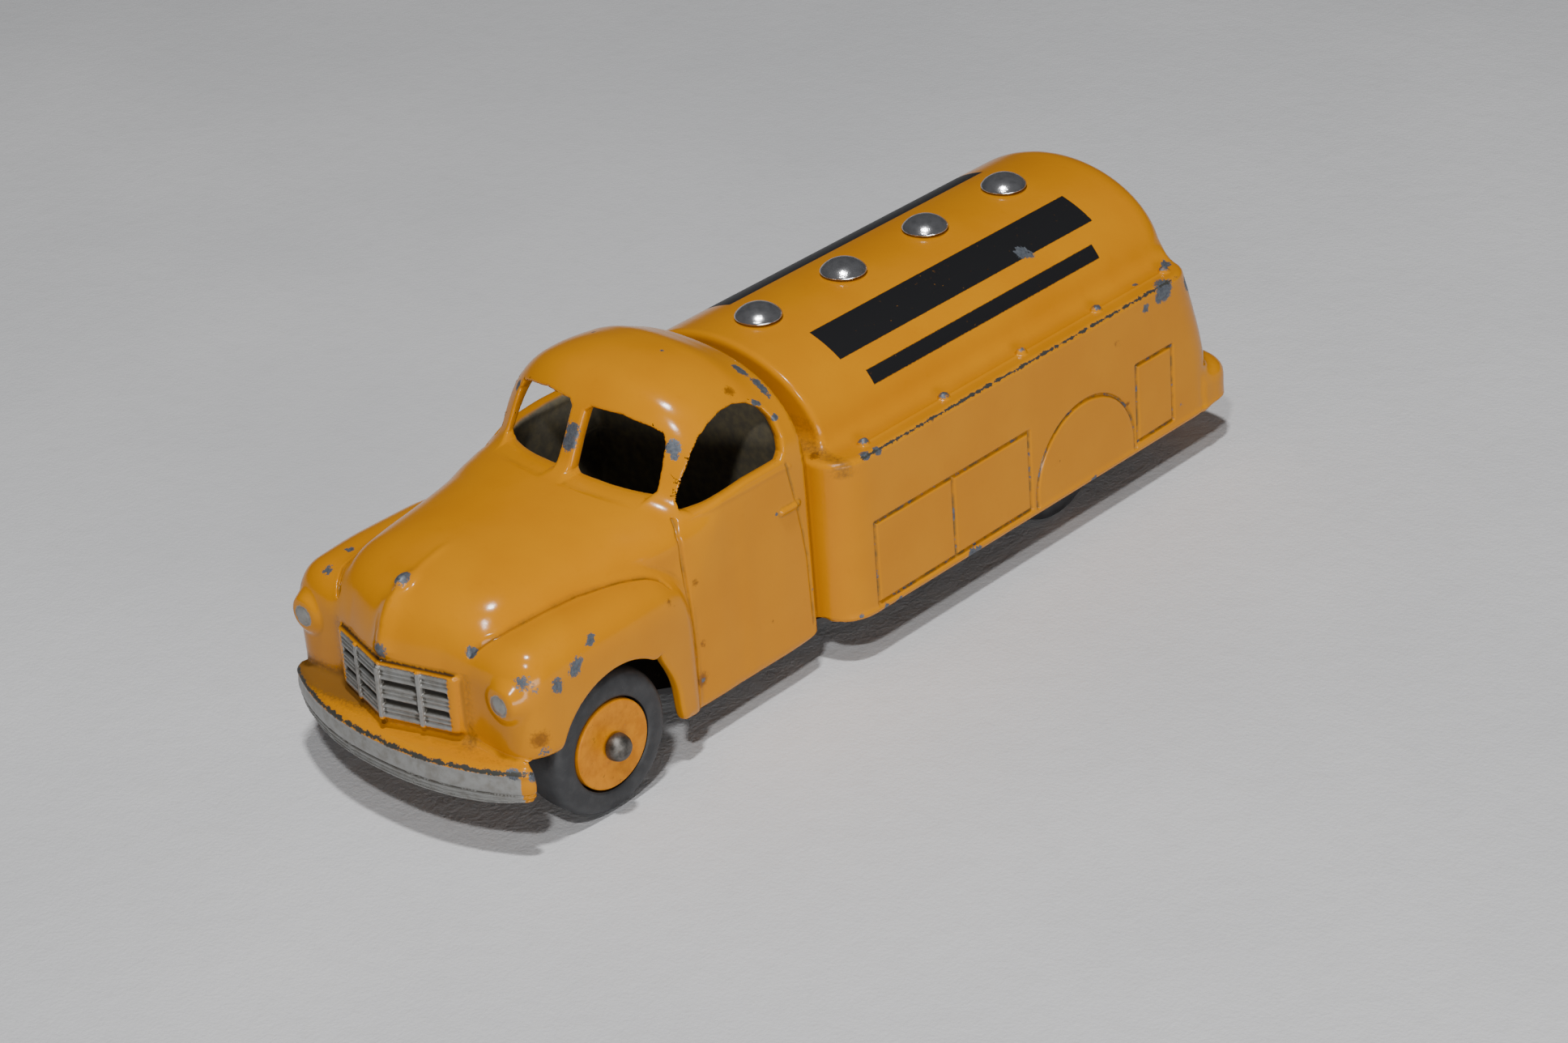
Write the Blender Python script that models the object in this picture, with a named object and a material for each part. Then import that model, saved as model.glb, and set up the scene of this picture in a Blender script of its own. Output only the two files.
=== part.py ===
"""Toy tanker truck: painted zinc cab and tank castings on a pressed steel
base plate, with two loose axles, four turned hubs with rubber tyres and four
bright filler caps along the tank.

Frame: +Z up, -Y is the front of the truck, X runs across it.  The origin is
on the ground in the middle of the truck's length and width.
All dimensions below are in millimetres and become metres when meshed.
"""
import math

import bmesh
import bpy
from mathutils import Matrix, Vector

MM = 0.001

# ---- driving dimensions (mm) -------------------------------------------------
FRONT_Y = -56.1            # front of the bumper on the centreline
REAR_Y = 57.8              # back of the rear bumper roll
CENTRE_Y = 0.5 * (FRONT_Y + REAR_Y)   # middle of the length, moved onto the origin
WALL = 1.5                 # thickness of the die-cast walls
GAP = 0.3                  # clearance between neighbouring pieces

# wheels and axles
TYRE_R = 7.7
TYRE_BORE_R = 5.05
TYRE_W = 4.9
HUB_R = 4.75
HUB_W = 4.6
AXLE_R = 0.95
BORE_R = 1.04
HEAD_R = 1.45
FRONT_AXLE_Y = -40.4
REAR_AXLE_Y = 30.7
AXLE_Z = TYRE_R
FRONT_HUB_FACE_X = 16.6
REAR_HUB_FACE_X = 14.4
HEAD_GAP = 0.3
HEAD_LEN = 1.5

# tank and its side skirts
SKIRT_W = 18.25
SKIRT_BOTTOM = 5.15
LEDGE_Z = 23.85
SKIRT_FRONT_Y = -7.8
TANK_FRONT_Y = -5.1
TANK_A = 13.75             # half width of the barrel where it meets the ledge
TANK_B = 8.8               # height of the barrel above the ledge
CORNER_R = 4.2
CAP_PITCH = 13.1
CAP_FIRST_Y = 0.9
CAP_R = 2.35

# cab
CAB_REAR_Y = -8.9
CAB_W = 15.4
DOOR_BOTTOM = 4.0
FENDER_W = 17.4
BUMPER_W = 17.7

# base plate
BASE_Z = 4.3
BASE_T = 0.7
RIVETS = (-33.0, 7.5, 45.9)   # stations of the three rivets


# ---- helpers -----------------------------------------------------------------
def clear_scene():
    for ob in list(bpy.data.objects):
        bpy.data.objects.remove(ob, do_unlink=True)
    for me in list(bpy.data.meshes):
        bpy.data.meshes.remove(me)


def make_material(name, colour, metallic, roughness):
    mat = bpy.data.materials.new(name)
    mat.use_nodes = True
    bsdf = mat.node_tree.nodes["Principled BSDF"]
    bsdf.inputs["Base Color"].default_value = (*colour, 1.0)
    bsdf.inputs["Metallic"].default_value = metallic
    bsdf.inputs["Roughness"].default_value = roughness
    mat.diffuse_color = (*colour, 1.0)
    return mat


def object_from_bmesh(name, bm, smooth=None, origin=(0.0, 0.0, 0.0)):
    """Turns a bmesh in millimetres into an object whose origin is at the point given."""
    bmesh.ops.transform(bm, matrix=Matrix.Translation(-Vector(origin)), verts=bm.verts)
    bmesh.ops.scale(bm, vec=(MM, MM, MM), verts=bm.verts)
    bmesh.ops.recalc_face_normals(bm, faces=bm.faces)
    me = bpy.data.meshes.new(name)
    bm.to_mesh(me)
    bm.free()
    ob = bpy.data.objects.new(name, me)
    ob.location = Vector(origin) * MM
    bpy.context.scene.collection.objects.link(ob)
    if smooth is not None:
        me.shade_smooth()
        me.set_sharp_from_angle(angle=math.radians(smooth))
    return ob


def loft(name, rings):
    """Closed skin over rings that all have the same number of points."""
    bm = bmesh.new()
    rows = [[bm.verts.new(p) for p in ring] for ring in rings]
    n = len(rows[0])
    for a, b in zip(rows, rows[1:]):
        for i in range(n):
            j = (i + 1) % n
            bm.faces.new((a[i], a[j], b[j], b[i]))
    bm.faces.new(list(reversed(rows[0])))
    bm.faces.new(rows[-1])
    return object_from_bmesh(name, bm)


def box(name, lo, hi):
    (x0, y0, z0), (x1, y1, z1) = lo, hi
    return loft(name, [[(x0, y0, z), (x1, y0, z), (x1, y1, z), (x0, y1, z)] for z in (z0, z1)])


def turned(name, profile, steps, axis="X", centre=(0.0, 0.0, 0.0), smooth=35.0, phase=0.0, origin=None):
    """Solid of revolution.  profile is [(along, radius)...]; a radius of zero
    closes that end on the axis, and otherwise the profile is a closed loop."""
    bm = bmesh.new()
    closed_loop = profile[0][1] > 1e-9
    rows = []
    for along, r in profile:
        if r < 1e-9:
            rows.append([bm.verts.new(_place(along, 0.0, 0.0, axis, centre))])
        else:
            rows.append([
                bm.verts.new(_place(along, r * math.cos(phase + 2 * math.pi * k / steps),
                                    r * math.sin(phase + 2 * math.pi * k / steps), axis, centre))
                for k in range(steps)])
    pairs = list(zip(rows, rows[1:]))
    if closed_loop:
        pairs.append((rows[-1], rows[0]))
    for a, b in pairs:
        for k in range(steps):
            j = (k + 1) % steps
            if len(a) == 1 and len(b) == 1:
                continue
            if len(a) == 1:
                bm.faces.new((a[0], b[j], b[k]))
            elif len(b) == 1:
                bm.faces.new((a[k], a[j], b[0]))
            else:
                bm.faces.new((a[k], a[j], b[j], b[k]))
    return object_from_bmesh(name, bm, smooth, origin or (0.0, 0.0, 0.0))


def _place(along, u, v, axis, c):
    if axis == "X":
        return (c[0] + along, c[1] + u, c[2] + v)
    if axis == "Y":
        return (c[0] + u, c[1] + along, c[2] + v)
    return (c[0] + u, c[1] + v, c[2] + along)


def as_tool(ob):
    ob.hide_render = True
    ob.display_type = "WIRE"
    return ob


def boolean(ob, tool, operation):
    as_tool(tool)
    mod = ob.modifiers.new(tool.name, "BOOLEAN")
    mod.object = tool
    mod.operation = operation
    mod.solver = "EXACT"
    return mod


def cut(ob, *tools):
    for t in tools:
        boolean(ob, t, "DIFFERENCE")


def join(ob, *tools):
    for t in tools:
        boolean(ob, t, "UNION")


def finish(ob, material, angle=35.0):
    ob.data.materials.clear()
    ob.data.materials.append(material)
    ob.data.shade_smooth()
    ob.data.set_sharp_from_angle(angle=math.radians(angle))


def lerp_table(table, y):
    """Straight interpolation of each column of rows [y, a, b, ...]."""
    if y <= table[0][0]:
        return table[0][1:]
    for r0, r1 in zip(table, table[1:]):
        if y <= r1[0]:
            t = (y - r0[0]) / (r1[0] - r0[0])
            return tuple(a + (b - a) * t for a, b in zip(r0[1:], r1[1:]))
    return table[-1][1:]


def arch_section(y, a, z0, top, p, zb, arc=12, bow=0.0, inset=0.0):
    """Half-round-topped section across the truck: upright sides of half width
    a from zb up to z0, then a superellipse of exponent p up to top.
    bow moves the outer points back, so a front face is curved in plan."""
    a -= inset
    top -= inset
    pts = [(-a, zb), (-a, z0)]
    for k in range(1, arc):
        t = math.pi * k / arc
        c, s = math.cos(t), math.sin(t)
        x = -a * math.copysign(abs(c) ** (2.0 / p), c)
        z = z0 + (top - z0) * abs(s) ** (2.0 / p)
        pts.append((x, z))
    pts += [(a, z0), (a, zb)]
    return [(x, y + bow * (x / 11.0) ** 2, z) for x, z in pts]


# ---- cab casting ---------------------------------------------------------------
# y, half width, spring height of the hood side, top height, squareness
HOOD = [
    (-54.3, 6.6, 17.2, 19.3, 2.6),
    (-53.4, 8.4, 18.2, 21.3, 2.6),
    (-52.2, 9.6, 19.4, 23.4, 2.5),
    (-50.0, 10.4, 20.4, 25.3, 2.4),
    (-45.5, 11.3, 21.2, 26.0, 2.4),
    (-38.0, 12.3, 21.6, 26.6, 2.5),
    (-31.0, 13.6, 22.0, 27.0, 2.8),
    (-27.0, 15.0, 22.2, 27.2, 2.9),
    (-24.0, 15.4, 22.3, 27.3, 3.0),
    (-14.0, 15.4, 22.3, 27.3, 3.0),
    (CAB_REAR_Y, 15.35, 22.3, 27.0, 3.0),
]
# y on the centreline, half width, spring height, roof height, squareness, bow
ROOF = [
    (-29.4, 11.4, 22.0, 26.9, 3.2, 2.7),
    (-28.6, 12.0, 22.5, 28.0, 3.1, 2.7),
    (-27.0, 13.2, 23.0, 31.2, 2.8, 2.6),
    (-25.6, 13.9, 23.6, 33.8, 2.6, 2.5),
    (-24.0, 14.3, 23.9, 35.2, 2.45, 2.2),
    (-21.5, 14.7, 24.0, 36.4, 2.35, 1.6),
    (-18.0, 15.0, 24.0, 36.9, 2.3, 0.9),
    (-14.0, 15.1, 24.0, 36.4, 2.3, 0.3),
    (-11.0, 15.1, 24.0, 35.4, 2.3, 0.0),
    (CAB_REAR_Y, 15.0, 24.0, 34.3, 2.35, 0.0),
]


def cab():
    hood = loft("cab_casting", [arch_section(y, a, z0, top, p, DOOR_BOTTOM if y > -27.5 else 10.2)
                                for y, a, z0, top, p in HOOD])
    roof = loft("tool_roof", [arch_section(y, a, z0, top, p, 12.0, bow=bow)
                              for y, a, z0, top, p, bow in ROOF])
    # front wings: rounded crowns that hang down over the wheels
    wings = []
    for side, s in (("left", 1.0), ("right", -1.0)):
        # y, inner x, outer x, crown height, bottom height
        rows = [
            (-51.6, 9.5, 15.6, 19.6, 11.2),
            (-50.6, 8.6, 16.6, 21.0, 11.0),
            (-48.0, 8.0, 17.3, 22.2, 10.8),
            (-42.0, 8.0, FENDER_W, 22.9, 8.0),
            (-36.0, 8.0, FENDER_W, 22.9, 6.0),
            (-32.0, 8.0, 17.2, 22.4, 5.0),
            (-29.5, 8.0, 16.9, 21.6, 4.6),
            (-27.6, 8.0, 16.3, 20.0, 4.6),
            (-26.6, 8.0, 15.2, 18.5, 4.8),
        ]
        rings = []
        for y, xi, xo, zt, zb in rows:
            r = 4.6
            pts = [(xi, zb), (xi, zt - 0.8)]
            pts += [(xi + 0.5, zt)]
            for k in range(0, 6):
                t = math.pi / 2 * k / 5
                pts.append((xo - r + r * math.sin(t), zt - r + r * math.cos(t)))
            pts.append((xo, zb))
            rings.append([(s * x, y, z) for x, z in pts])
        wings.append(loft("tool_wing_" + side, rings))
    # V-fronted grille block
    grille = loft("tool_grille", [
        [(-8.6, -50.0, z), (-8.6, yo, z), (0.0, yc, z), (8.6, yo, z), (8.6, -50.0, z)]
        for z, yo, yc in ((11.6, -52.4, -54.9), (17.9, -52.1, -54.6))])
    # bumper: curved in plan, with a shelf behind its face
    def bumper_line(x, y_mid=FRONT_Y, y_end=-51.6):
        return y_mid + (y_end - y_mid) * (abs(x) / BUMPER_W) ** 2.2

    n = 14
    xs = [-BUMPER_W + 2 * BUMPER_W * k / n for k in range(n + 1)]
    rings = []
    for x in xs:
        yf = bumper_line(x)
        yb = -48.8
        rings.append([(x, yb, 10.9), (x, yf + 0.7, 10.3), (x, yf, 9.9), (x, yf, 8.6),
                      (x, yf + 0.4, 8.2), (x, yf + 0.4, 7.4), (x, yf + 0.1, 7.0), (x, yf + 0.4, 6.2),
                      (x, yf + 1.8, 6.2), (x, yb, 8.4)])
    bumper = loft("tool_bumper", rings)
    lamps = []
    for side, s in (("left", 1.0), ("right", -1.0)):
        lamps.append(turned("tool_lamp_" + side,
                            [(0.0, 0.0), (0.15, 1.2), (0.7, 2.0), (1.6, 2.35), (4.5, 2.45), (4.5, 0.0)],
                            16, axis="Y", centre=(s * 14.05, -52.3, 16.5)))
    join(hood, roof, *wings, grille, bumper, *lamps)

    # cast hollow, open underneath
    floor = -1.0
    cabin = loft("tool_cabin", [
        arch_section(y, a - WALL, z0, min(top, 35.4) - WALL, p, floor, bow=bow)
        for y, a, z0, top, p, bow in
        [(-27.6, 11.6, 22.0, 25.2, 3.0, 2.7), (-26.4, 13.1, 23.0, 29.6, 2.8, 2.6), (-24.6, 14.1, 23.6, 33.2, 2.6, 2.3),
         (-21.5, 14.7, 24.0, 35.8, 2.4, 1.6), (-18.0, 15.0, 24.0, 36.6, 2.35, 0.9),
         (-14.0, 15.1, 24.0, 36.0, 2.35, 0.3), (-10.4, 15.0, 24.0, 34.6, 2.35, 0.0)]])
    bay = loft("tool_engine_bay", [
        arch_section(y, a, 16.0, top, 2.8, floor) for y, a, top in
        ((-49.2, 9.0, 18.5), (-46.0, 13.6, 20.0), (-38.0, 15.6, 20.6), (-31.0, 15.3, 20.2), (-27.9, 14.0, 19.6), (-21.0, 13.2, 19.0))])
    hood_hollow = loft("tool_hood_hollow", [
        arch_section(y, a, z0, top, p, 12.0, inset=WALL, arc=10) for y, a, z0, top, p in
        ((-50.2, 9.9, 19.6, 23.6, 2.6), (-45.5, 11.2, 20.8, 25.9, 2.5), (-38.0, 12.2, 21.2, 26.5, 2.6), (-25.5, 14.1, 21.4, 26.9, 2.8))])
    arches = []
    for side, s in (("left", 1.0), ("right", -1.0)):
        # the arch in the skin sits a little behind the wheel, which has its own well inside
        arches.append(turned("tool_arch_" + side, [(0.0, 0.0), (0.0, 8.4), (9.0, 8.4), (9.0, 0.0)], 28,
                             axis="X", centre=(10.5 if s > 0 else -19.5, -39.2, AXLE_Z - 0.1), smooth=None))
        arches.append(turned("tool_well_" + side, [(0.0, 0.0), (0.0, 8.15), (6.3, 8.15), (6.3, 0.0)], 26,
                             axis="X", centre=(10.4 if s > 0 else -16.7, FRONT_AXLE_Y, AXLE_Z), smooth=None))
    # windows: two windscreen panes and one in each door
    panes = []
    for side, s in (("left", 1.0), ("right", -1.0)):
        outline = [(1.45, 27.5), (10.4, 26.7), (10.25, 31.9), (9.4, 32.4), (1.45, 33.2)]
        rings = []
        for y in (-34.0, -20.5):
            rings.append([(s * x, y, z) for x, z in outline])
        panes.append(loft("tool_windscreen_" + side, rings))
        door = [(-26.3, 27.3), (-13.4, 27.1), (-13.1, 29.6), (-13.9, 31.9), (-16.0, 33.0),
                (-20.4, 32.7), (-23.2, 31.4), (-24.6, 30.0)]
        panes.append(loft("tool_door_window_" + side,
                          [[(s * x, y, z) for y, z in door] for x in (8.6, 20.0)]))
    cut(hood, cabin, bay, hood_hollow, *arches, *panes)
    cut(hood, box("tool_cab_plate_slot", (-13.7, -12.0, -1.0), (13.7, -8.0, BASE_Z + BASE_T + GAP)))
    add_post(hood, "cab", RIVETS[0], 26.0)
    return hood


def add_post(casting, label, y, top):
    """Post cast inside, with a blind hole for the rivet that holds the base plate."""
    foot = BASE_Z + BASE_T + GAP
    join(casting, turned("tool_post_" + label, [(foot, 0.0), (foot, 2.1), (top, 2.1), (top, 0.0)],
                         16, axis="Z", centre=(0.0, y, 0.0), smooth=None))
    cut(casting, turned("tool_post_hole_" + label, [(0.0, 0.0), (0.0, 1.25), (9.0, 1.25), (9.0, 0.0)],
                        12, axis="Z", centre=(0.0, y, 0.0), smooth=None, phase=0.1))


# ---- tank casting ---------------------------------------------------------------
def skirt_outline(y_front, y_rear, half_w, r, steps=4):
    """Plan of the skirts: a long rectangle with rounded corners."""
    pts = []
    for cx, cy, a0 in ((half_w - r, y_front + r, -90.0), (half_w - r, y_rear - r, 0.0),
                       (-half_w + r, y_rear - r, 90.0), (-half_w + r, y_front + r, 180.0)):
        for k in range(steps + 1):
            a = math.radians(a0 + 90.0 * k / steps)
            pts.append((cx + r * math.cos(a), cy + r * math.sin(a)))
    return pts


def barrel_rings(a, b, top, y_front, y_rear, dome, arc=16, base=20.0, flare=0.0):
    """Half-round barrel with a domed back end."""
    rows = [(y_front, 1.0, 1.0)]
    rows.append((y_rear - dome, 1.0, 1.0))
    for k in range(1, 7):
        t = math.pi / 2 * k / 7
        rows.append((y_rear - dome + dome * math.sin(t), 1.0 - (1.0 - math.cos(t)) * 0.45, 1.0 - (1.0 - math.cos(t)) * 0.85))
    rings = []
    for y, sa, sb in rows:
        pts = [(-a * sa, base)]
        for k in range(arc + 1):
            t = math.pi * k / arc
            pts.append((-a * sa * math.cos(t), LEDGE_Z + b * sb * math.sin(t) * top))
        pts.append((a * sa, base))
        rings.append([(x, y, z) for x, z in pts])
    return rings


def tank():
    # skirts: the back leans out towards the bottom
    rings = []
    for z, yr, w, yf in ((SKIRT_BOTTOM, 54.6, SKIRT_W - 0.1, SKIRT_FRONT_Y), (6.0, 54.9, SKIRT_W, SKIRT_FRONT_Y),
                         (12.0, 54.4, SKIRT_W, SKIRT_FRONT_Y), (LEDGE_Z - 0.6, 49.8, SKIRT_W, SKIRT_FRONT_Y),
                         (LEDGE_Z, 48.9, SKIRT_W - 0.6, SKIRT_FRONT_Y + 0.6)):
        rings.append([(x, y, z) for x, y in skirt_outline(yf, yr, w, CORNER_R)])
    body = loft("tank_casting", rings)
    # rear bumper roll
    rings = []
    for z, yr, w in ((SKIRT_BOTTOM + 0.1, REAR_Y - 1.4, SKIRT_W - 0.7), (6.2, REAR_Y - 0.2, SKIRT_W - 0.1), (8.2, REAR_Y, SKIRT_W - 0.1),
                     (9.8, REAR_Y - 0.5, SKIRT_W - 0.3), (10.8, REAR_Y - 1.9, SKIRT_W - 1.2)):
        rings.append([(x, y, z) for x, y in skirt_outline(44.0, yr, w, 3.8)])
    roll = loft("tool_rear_roll", rings)
    barrel = loft("tool_barrel", barrel_rings(TANK_A, TANK_B, 1.0, TANK_FRONT_Y, 53.2, 10.0))
    join(body, roll, barrel)
    # hollow, open underneath
    rings = []
    for z, yr in ((0.0, 53.0), (12.0, 52.8), (LEDGE_Z - WALL, 48.2)):
        rings.append([(x, y, z) for x, y in skirt_outline(SKIRT_FRONT_Y + WALL, yr, SKIRT_W - WALL, CORNER_R - 1.0)])
    hollow = loft("tool_skirt_hollow", rings)
    inner = loft("tool_barrel_hollow",
                 barrel_rings(TANK_A - WALL, TANK_B - WALL, 1.0, TANK_FRONT_Y + WALL, 51.6, 9.0, arc=12, base=21.0))
    cut(body, hollow, inner)
    cut(body, box("tool_tank_plate_slot", (-14.9, -9.0, -1.0), (14.9, -5.0, BASE_Z + BASE_T + GAP)))
    for k in range(4):
        cut(body, turned("tool_cap_hole_%d" % (k + 1), [(30.0, 0.0), (30.0, 1.3), (34.0, 1.3), (34.0, 0.0)], 12, axis="Z",
                         centre=(0.0, CAP_FIRST_Y + CAP_PITCH * k, 0.0), smooth=None, phase=0.1))
    add_post(body, "tank_front", RIVETS[1], LEDGE_Z + TANK_B - 1.0)
    add_post(body, "tank_rear", RIVETS[2], LEDGE_Z + TANK_B - 1.35)
    return body


# ---- base plate -------------------------------------------------------------------
def base_plate():
    """Pressed steel plate that closes both castings from below.  It narrows
    between the wheels, and a pair of folded ears carries each axle."""
    half = [
        (-46.6, 7.2), (-45.4, 8.4), (-29.6, 8.4), (-26.0, 11.0), (-21.5, 12.6), (-10.8, 13.0),
        (-9.0, 13.0), (-5.4, 14.4), (20.0, 14.6), (21.2, 8.4), (40.2, 8.4), (41.4, 14.6), (49.6, 14.6), (51.4, 12.6)]
    outline = [(x, y) for y, x in half] + [(-x, y) for y, x in reversed(half)]
    plate = loft("base_plate", [[(x, y, z) for x, y in outline] for z in (BASE_Z, BASE_Z + BASE_T)])
    ears = []
    for end, y0 in (("front", FRONT_AXLE_Y), ("rear", REAR_AXLE_Y)):
        for side, s in (("left", 1.0), ("right", -1.0)):
            x0, x1 = sorted((s * 7.4, s * 8.3))
            prof = [(-2.6, BASE_Z + 0.2)]
            for k in range(9):
                t = math.pi * k / 8
                prof.append((-2.2 * math.cos(t), AXLE_Z + 2.2 * math.sin(t)))
            prof.append((2.6, BASE_Z + 0.2))
            ears.append(loft("tool_ear_%s_%s" % (end, side),
                             [[(x, y0 + u, v) for u, v in prof] for x in (x0, x1)]))
    join(plate, *ears)
    for end, y0 in (("front", FRONT_AXLE_Y), ("rear", REAR_AXLE_Y)):
        cut(plate, turned("tool_axle_bore_" + end, [(-12.0, 0.0), (-12.0, BORE_R), (12.0, BORE_R), (12.0, 0.0)], 20,
                          axis="X", centre=(0.0, y0, AXLE_Z), smooth=None))
    for y in RIVETS:
        cut(plate, turned("tool_rivet_hole_%d" % int(y + 100), [(-3.0, 0.0), (-3.0, 1.25), (3.0, 1.25), (3.0, 0.0)], 20,
                          axis="Z", centre=(0.0, y, BASE_Z), smooth=None))
    return plate


# ---- wheels, axles and trim ---------------------------------------------------------
def axle(name, y, hub_face):
    head = hub_face + HEAD_GAP
    half = [(-head - HEAD_LEN, 0.0), (-head - HEAD_LEN + 0.12, HEAD_R * 0.62), (-head - HEAD_LEN + 0.45, HEAD_R * 0.93),
            (-head - 0.5, HEAD_R), (-head, HEAD_R * 0.96), (-head, AXLE_R)]
    profile = half + [(-x, r) for x, r in reversed(half)]
    return turned(name, profile, 20, centre=(0.0, y, AXLE_Z), origin=(0.0, y, AXLE_Z))


def hub(name, y, face, s):
    w = HUB_W
    prof = [(0.0, BORE_R), (-0.1, BORE_R + 1.0), (0.0, HUB_R - 0.35), (-0.35, HUB_R), (-w + 0.3, HUB_R),
            (-w, HUB_R - 0.3), (-w, 2.6), (-w - 0.5, 2.3), (-w - 0.5, BORE_R)]
    prof = [(s * (face + x), r) for x, r in prof]
    return turned(name, prof, 20, centre=(0.0, y, AXLE_Z), origin=(0.0, y, AXLE_Z))


def tyre(name, y, face, s):
    w = TYRE_W
    prof = [(0.05, TYRE_BORE_R), (0.1, TYRE_BORE_R + 0.8), (0.0, TYRE_R - 0.9), (-0.35, TYRE_R - 0.25), (-1.0, TYRE_R),
            (-w + 1.0, TYRE_R), (-w + 0.3, TYRE_R - 0.3), (-w, TYRE_R - 0.9), (-w, TYRE_BORE_R)]
    prof = [(s * (face - 0.2 + x), r) for x, r in prof]
    return turned(name, prof, 32, centre=(0.0, y, AXLE_Z), origin=(0.0, y, AXLE_Z), phase=-math.pi / 2)


def filler_cap(name, y):
    """Bright domed cap on a short spigot that drops into the tank's top."""
    z = LEDGE_Z + TANK_B
    prof = [(1.0, 0.0), (0.93, 0.8), (0.72, 1.55), (0.42, 2.1), (0.12, CAP_R), (-0.05 + 0.0, CAP_R), (0.02, 1.0), (-1.0, 1.0), (-1.0, 0.0)]
    return turned(name, [(z + GAP + h, r) for h, r in prof], 20, axis="Z", centre=(0.0, y, 0.0), smooth=40.0,
                  origin=(0.0, y, z))


def rivet(name, y):
    prof = [(BASE_Z - GAP - 0.7, 0.0), (BASE_Z - GAP - 0.6, 1.3), (BASE_Z - GAP - 0.3, 2.0), (BASE_Z - GAP, 2.1), (BASE_Z - GAP, 0.9),
            (BASE_Z + 3.6, 0.9), (BASE_Z + 3.6, 0.0)]
    return turned(name, prof, 16, axis="Z", centre=(0.0, y, 0.0), origin=(0.0, y, BASE_Z))


def main():
    clear_scene()
    yellow = make_material("yellow_enamel", (0.80, 0.36, 0.012), 0.0, 0.3)
    wheel_yellow = make_material("wheel_enamel", (0.80, 0.36, 0.012), 0.0, 0.35)
    black_steel = make_material("blackened_steel", (0.03, 0.03, 0.03), 0.6, 0.5)
    rubber = make_material("tyre_rubber", (0.02, 0.021, 0.023), 0.0, 0.7)
    steel = make_material("axle_steel", (0.30, 0.29, 0.27), 1.0, 0.45)
    bright = make_material("bright_cap", (0.80, 0.80, 0.82), 1.0, 0.2)

    finish(cab(), yellow)
    finish(tank(), yellow)
    finish(base_plate(), black_steel)
    for end, y, face in (("front", FRONT_AXLE_Y, FRONT_HUB_FACE_X), ("rear", REAR_AXLE_Y, REAR_HUB_FACE_X)):
        finish(axle(end + "_axle", y, face), steel)
        for side, s in (("left", 1.0), ("right", -1.0)):
            finish(hub("hub_%s_%s" % (end, side), y, face, s), wheel_yellow)
            finish(tyre("tyre_%s_%s" % (end, side), y, face, s), rubber)
    for k in range(4):
        finish(filler_cap("filler_cap_%d" % (k + 1), CAP_FIRST_Y + CAP_PITCH * k), bright)
    for k, y in enumerate(RIVETS):
        finish(rivet("base_rivet_%d" % (k + 1), y), steel)
    for ob in bpy.context.scene.collection.objects:
        ob.location.y -= CENTRE_Y * MM


main()
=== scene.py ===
import math

import bpy
import numpy as np
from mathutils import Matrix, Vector


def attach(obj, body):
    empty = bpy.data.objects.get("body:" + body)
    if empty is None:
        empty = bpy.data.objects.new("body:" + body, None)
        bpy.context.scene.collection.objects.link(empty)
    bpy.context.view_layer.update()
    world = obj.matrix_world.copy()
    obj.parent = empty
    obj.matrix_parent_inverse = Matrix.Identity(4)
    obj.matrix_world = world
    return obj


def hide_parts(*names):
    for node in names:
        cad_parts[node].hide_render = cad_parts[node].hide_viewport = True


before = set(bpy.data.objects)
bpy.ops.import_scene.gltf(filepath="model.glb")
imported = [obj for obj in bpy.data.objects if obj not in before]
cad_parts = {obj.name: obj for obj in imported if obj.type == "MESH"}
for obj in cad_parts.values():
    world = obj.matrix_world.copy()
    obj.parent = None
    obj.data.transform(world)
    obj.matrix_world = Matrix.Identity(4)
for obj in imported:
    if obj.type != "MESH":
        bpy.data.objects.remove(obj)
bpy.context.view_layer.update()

# The shapes below are worked out in millimetres in a frame whose Y is MID_Y
# ahead of the row frame, then moved into the row frame in metres.
MM = 0.001
MID_Y = 0.85


# ------------------------------------------------------------------ helpers
def smin(a, b, k):
    h = np.clip(0.5 + 0.5 * (b - a) / k, 0.0, 1.0)
    return b + (a - b) * h - k * h * (1.0 - h)


def smax(a, b, k):
    return -smin(-a, -b, k)


def tab(y, rows, col):
    """Smooth (monotone cubic) reading of one column of a table against y."""
    xs = np.array([r[0] for r in rows], float)
    ys = np.array([r[col] for r in rows], float)
    h = np.diff(xs)
    d = np.diff(ys) / h
    m = np.zeros(len(xs))
    m[0], m[-1] = d[0], d[-1]
    for i in range(1, len(xs) - 1):
        if d[i - 1] * d[i] > 0:
            w1, w2 = 2 * h[i] + h[i - 1], h[i] + 2 * h[i - 1]
            m[i] = (w1 + w2) / (w1 / d[i - 1] + w2 / d[i])
    yc = np.clip(y, xs[0], xs[-1])
    i = np.clip(np.searchsorted(xs, yc, side="right") - 1, 0, len(xs) - 2)
    t = (yc - xs[i]) / h[i]
    t2, t3 = t * t, t * t * t
    return ((2 * t3 - 3 * t2 + 1) * ys[i] + (t3 - 2 * t2 + t) * h[i] * m[i]
            + (-2 * t3 + 3 * t2) * ys[i + 1] + (t3 - t2) * h[i] * m[i + 1])


def section(x, z, a, z0, b, p):
    """Upright sides at |x| = a below z0, and above it a superellipse of
    height b: first-order distance."""
    u = np.abs(x) / a
    w = np.maximum(z - z0, 0.0) / b
    u = np.maximum(u, 1e-4)
    r = u ** p + w ** p
    g = r ** (1.0 / p)
    k = r ** (1.0 / p - 1.0)
    gx = u ** (p - 1.0) / a * k
    gz = np.where(w > 0, w, 0.0) ** (p - 1.0) / b * k
    return (g - 1.0) / np.sqrt(gx * gx + gz * gz + 1e-8)


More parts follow.
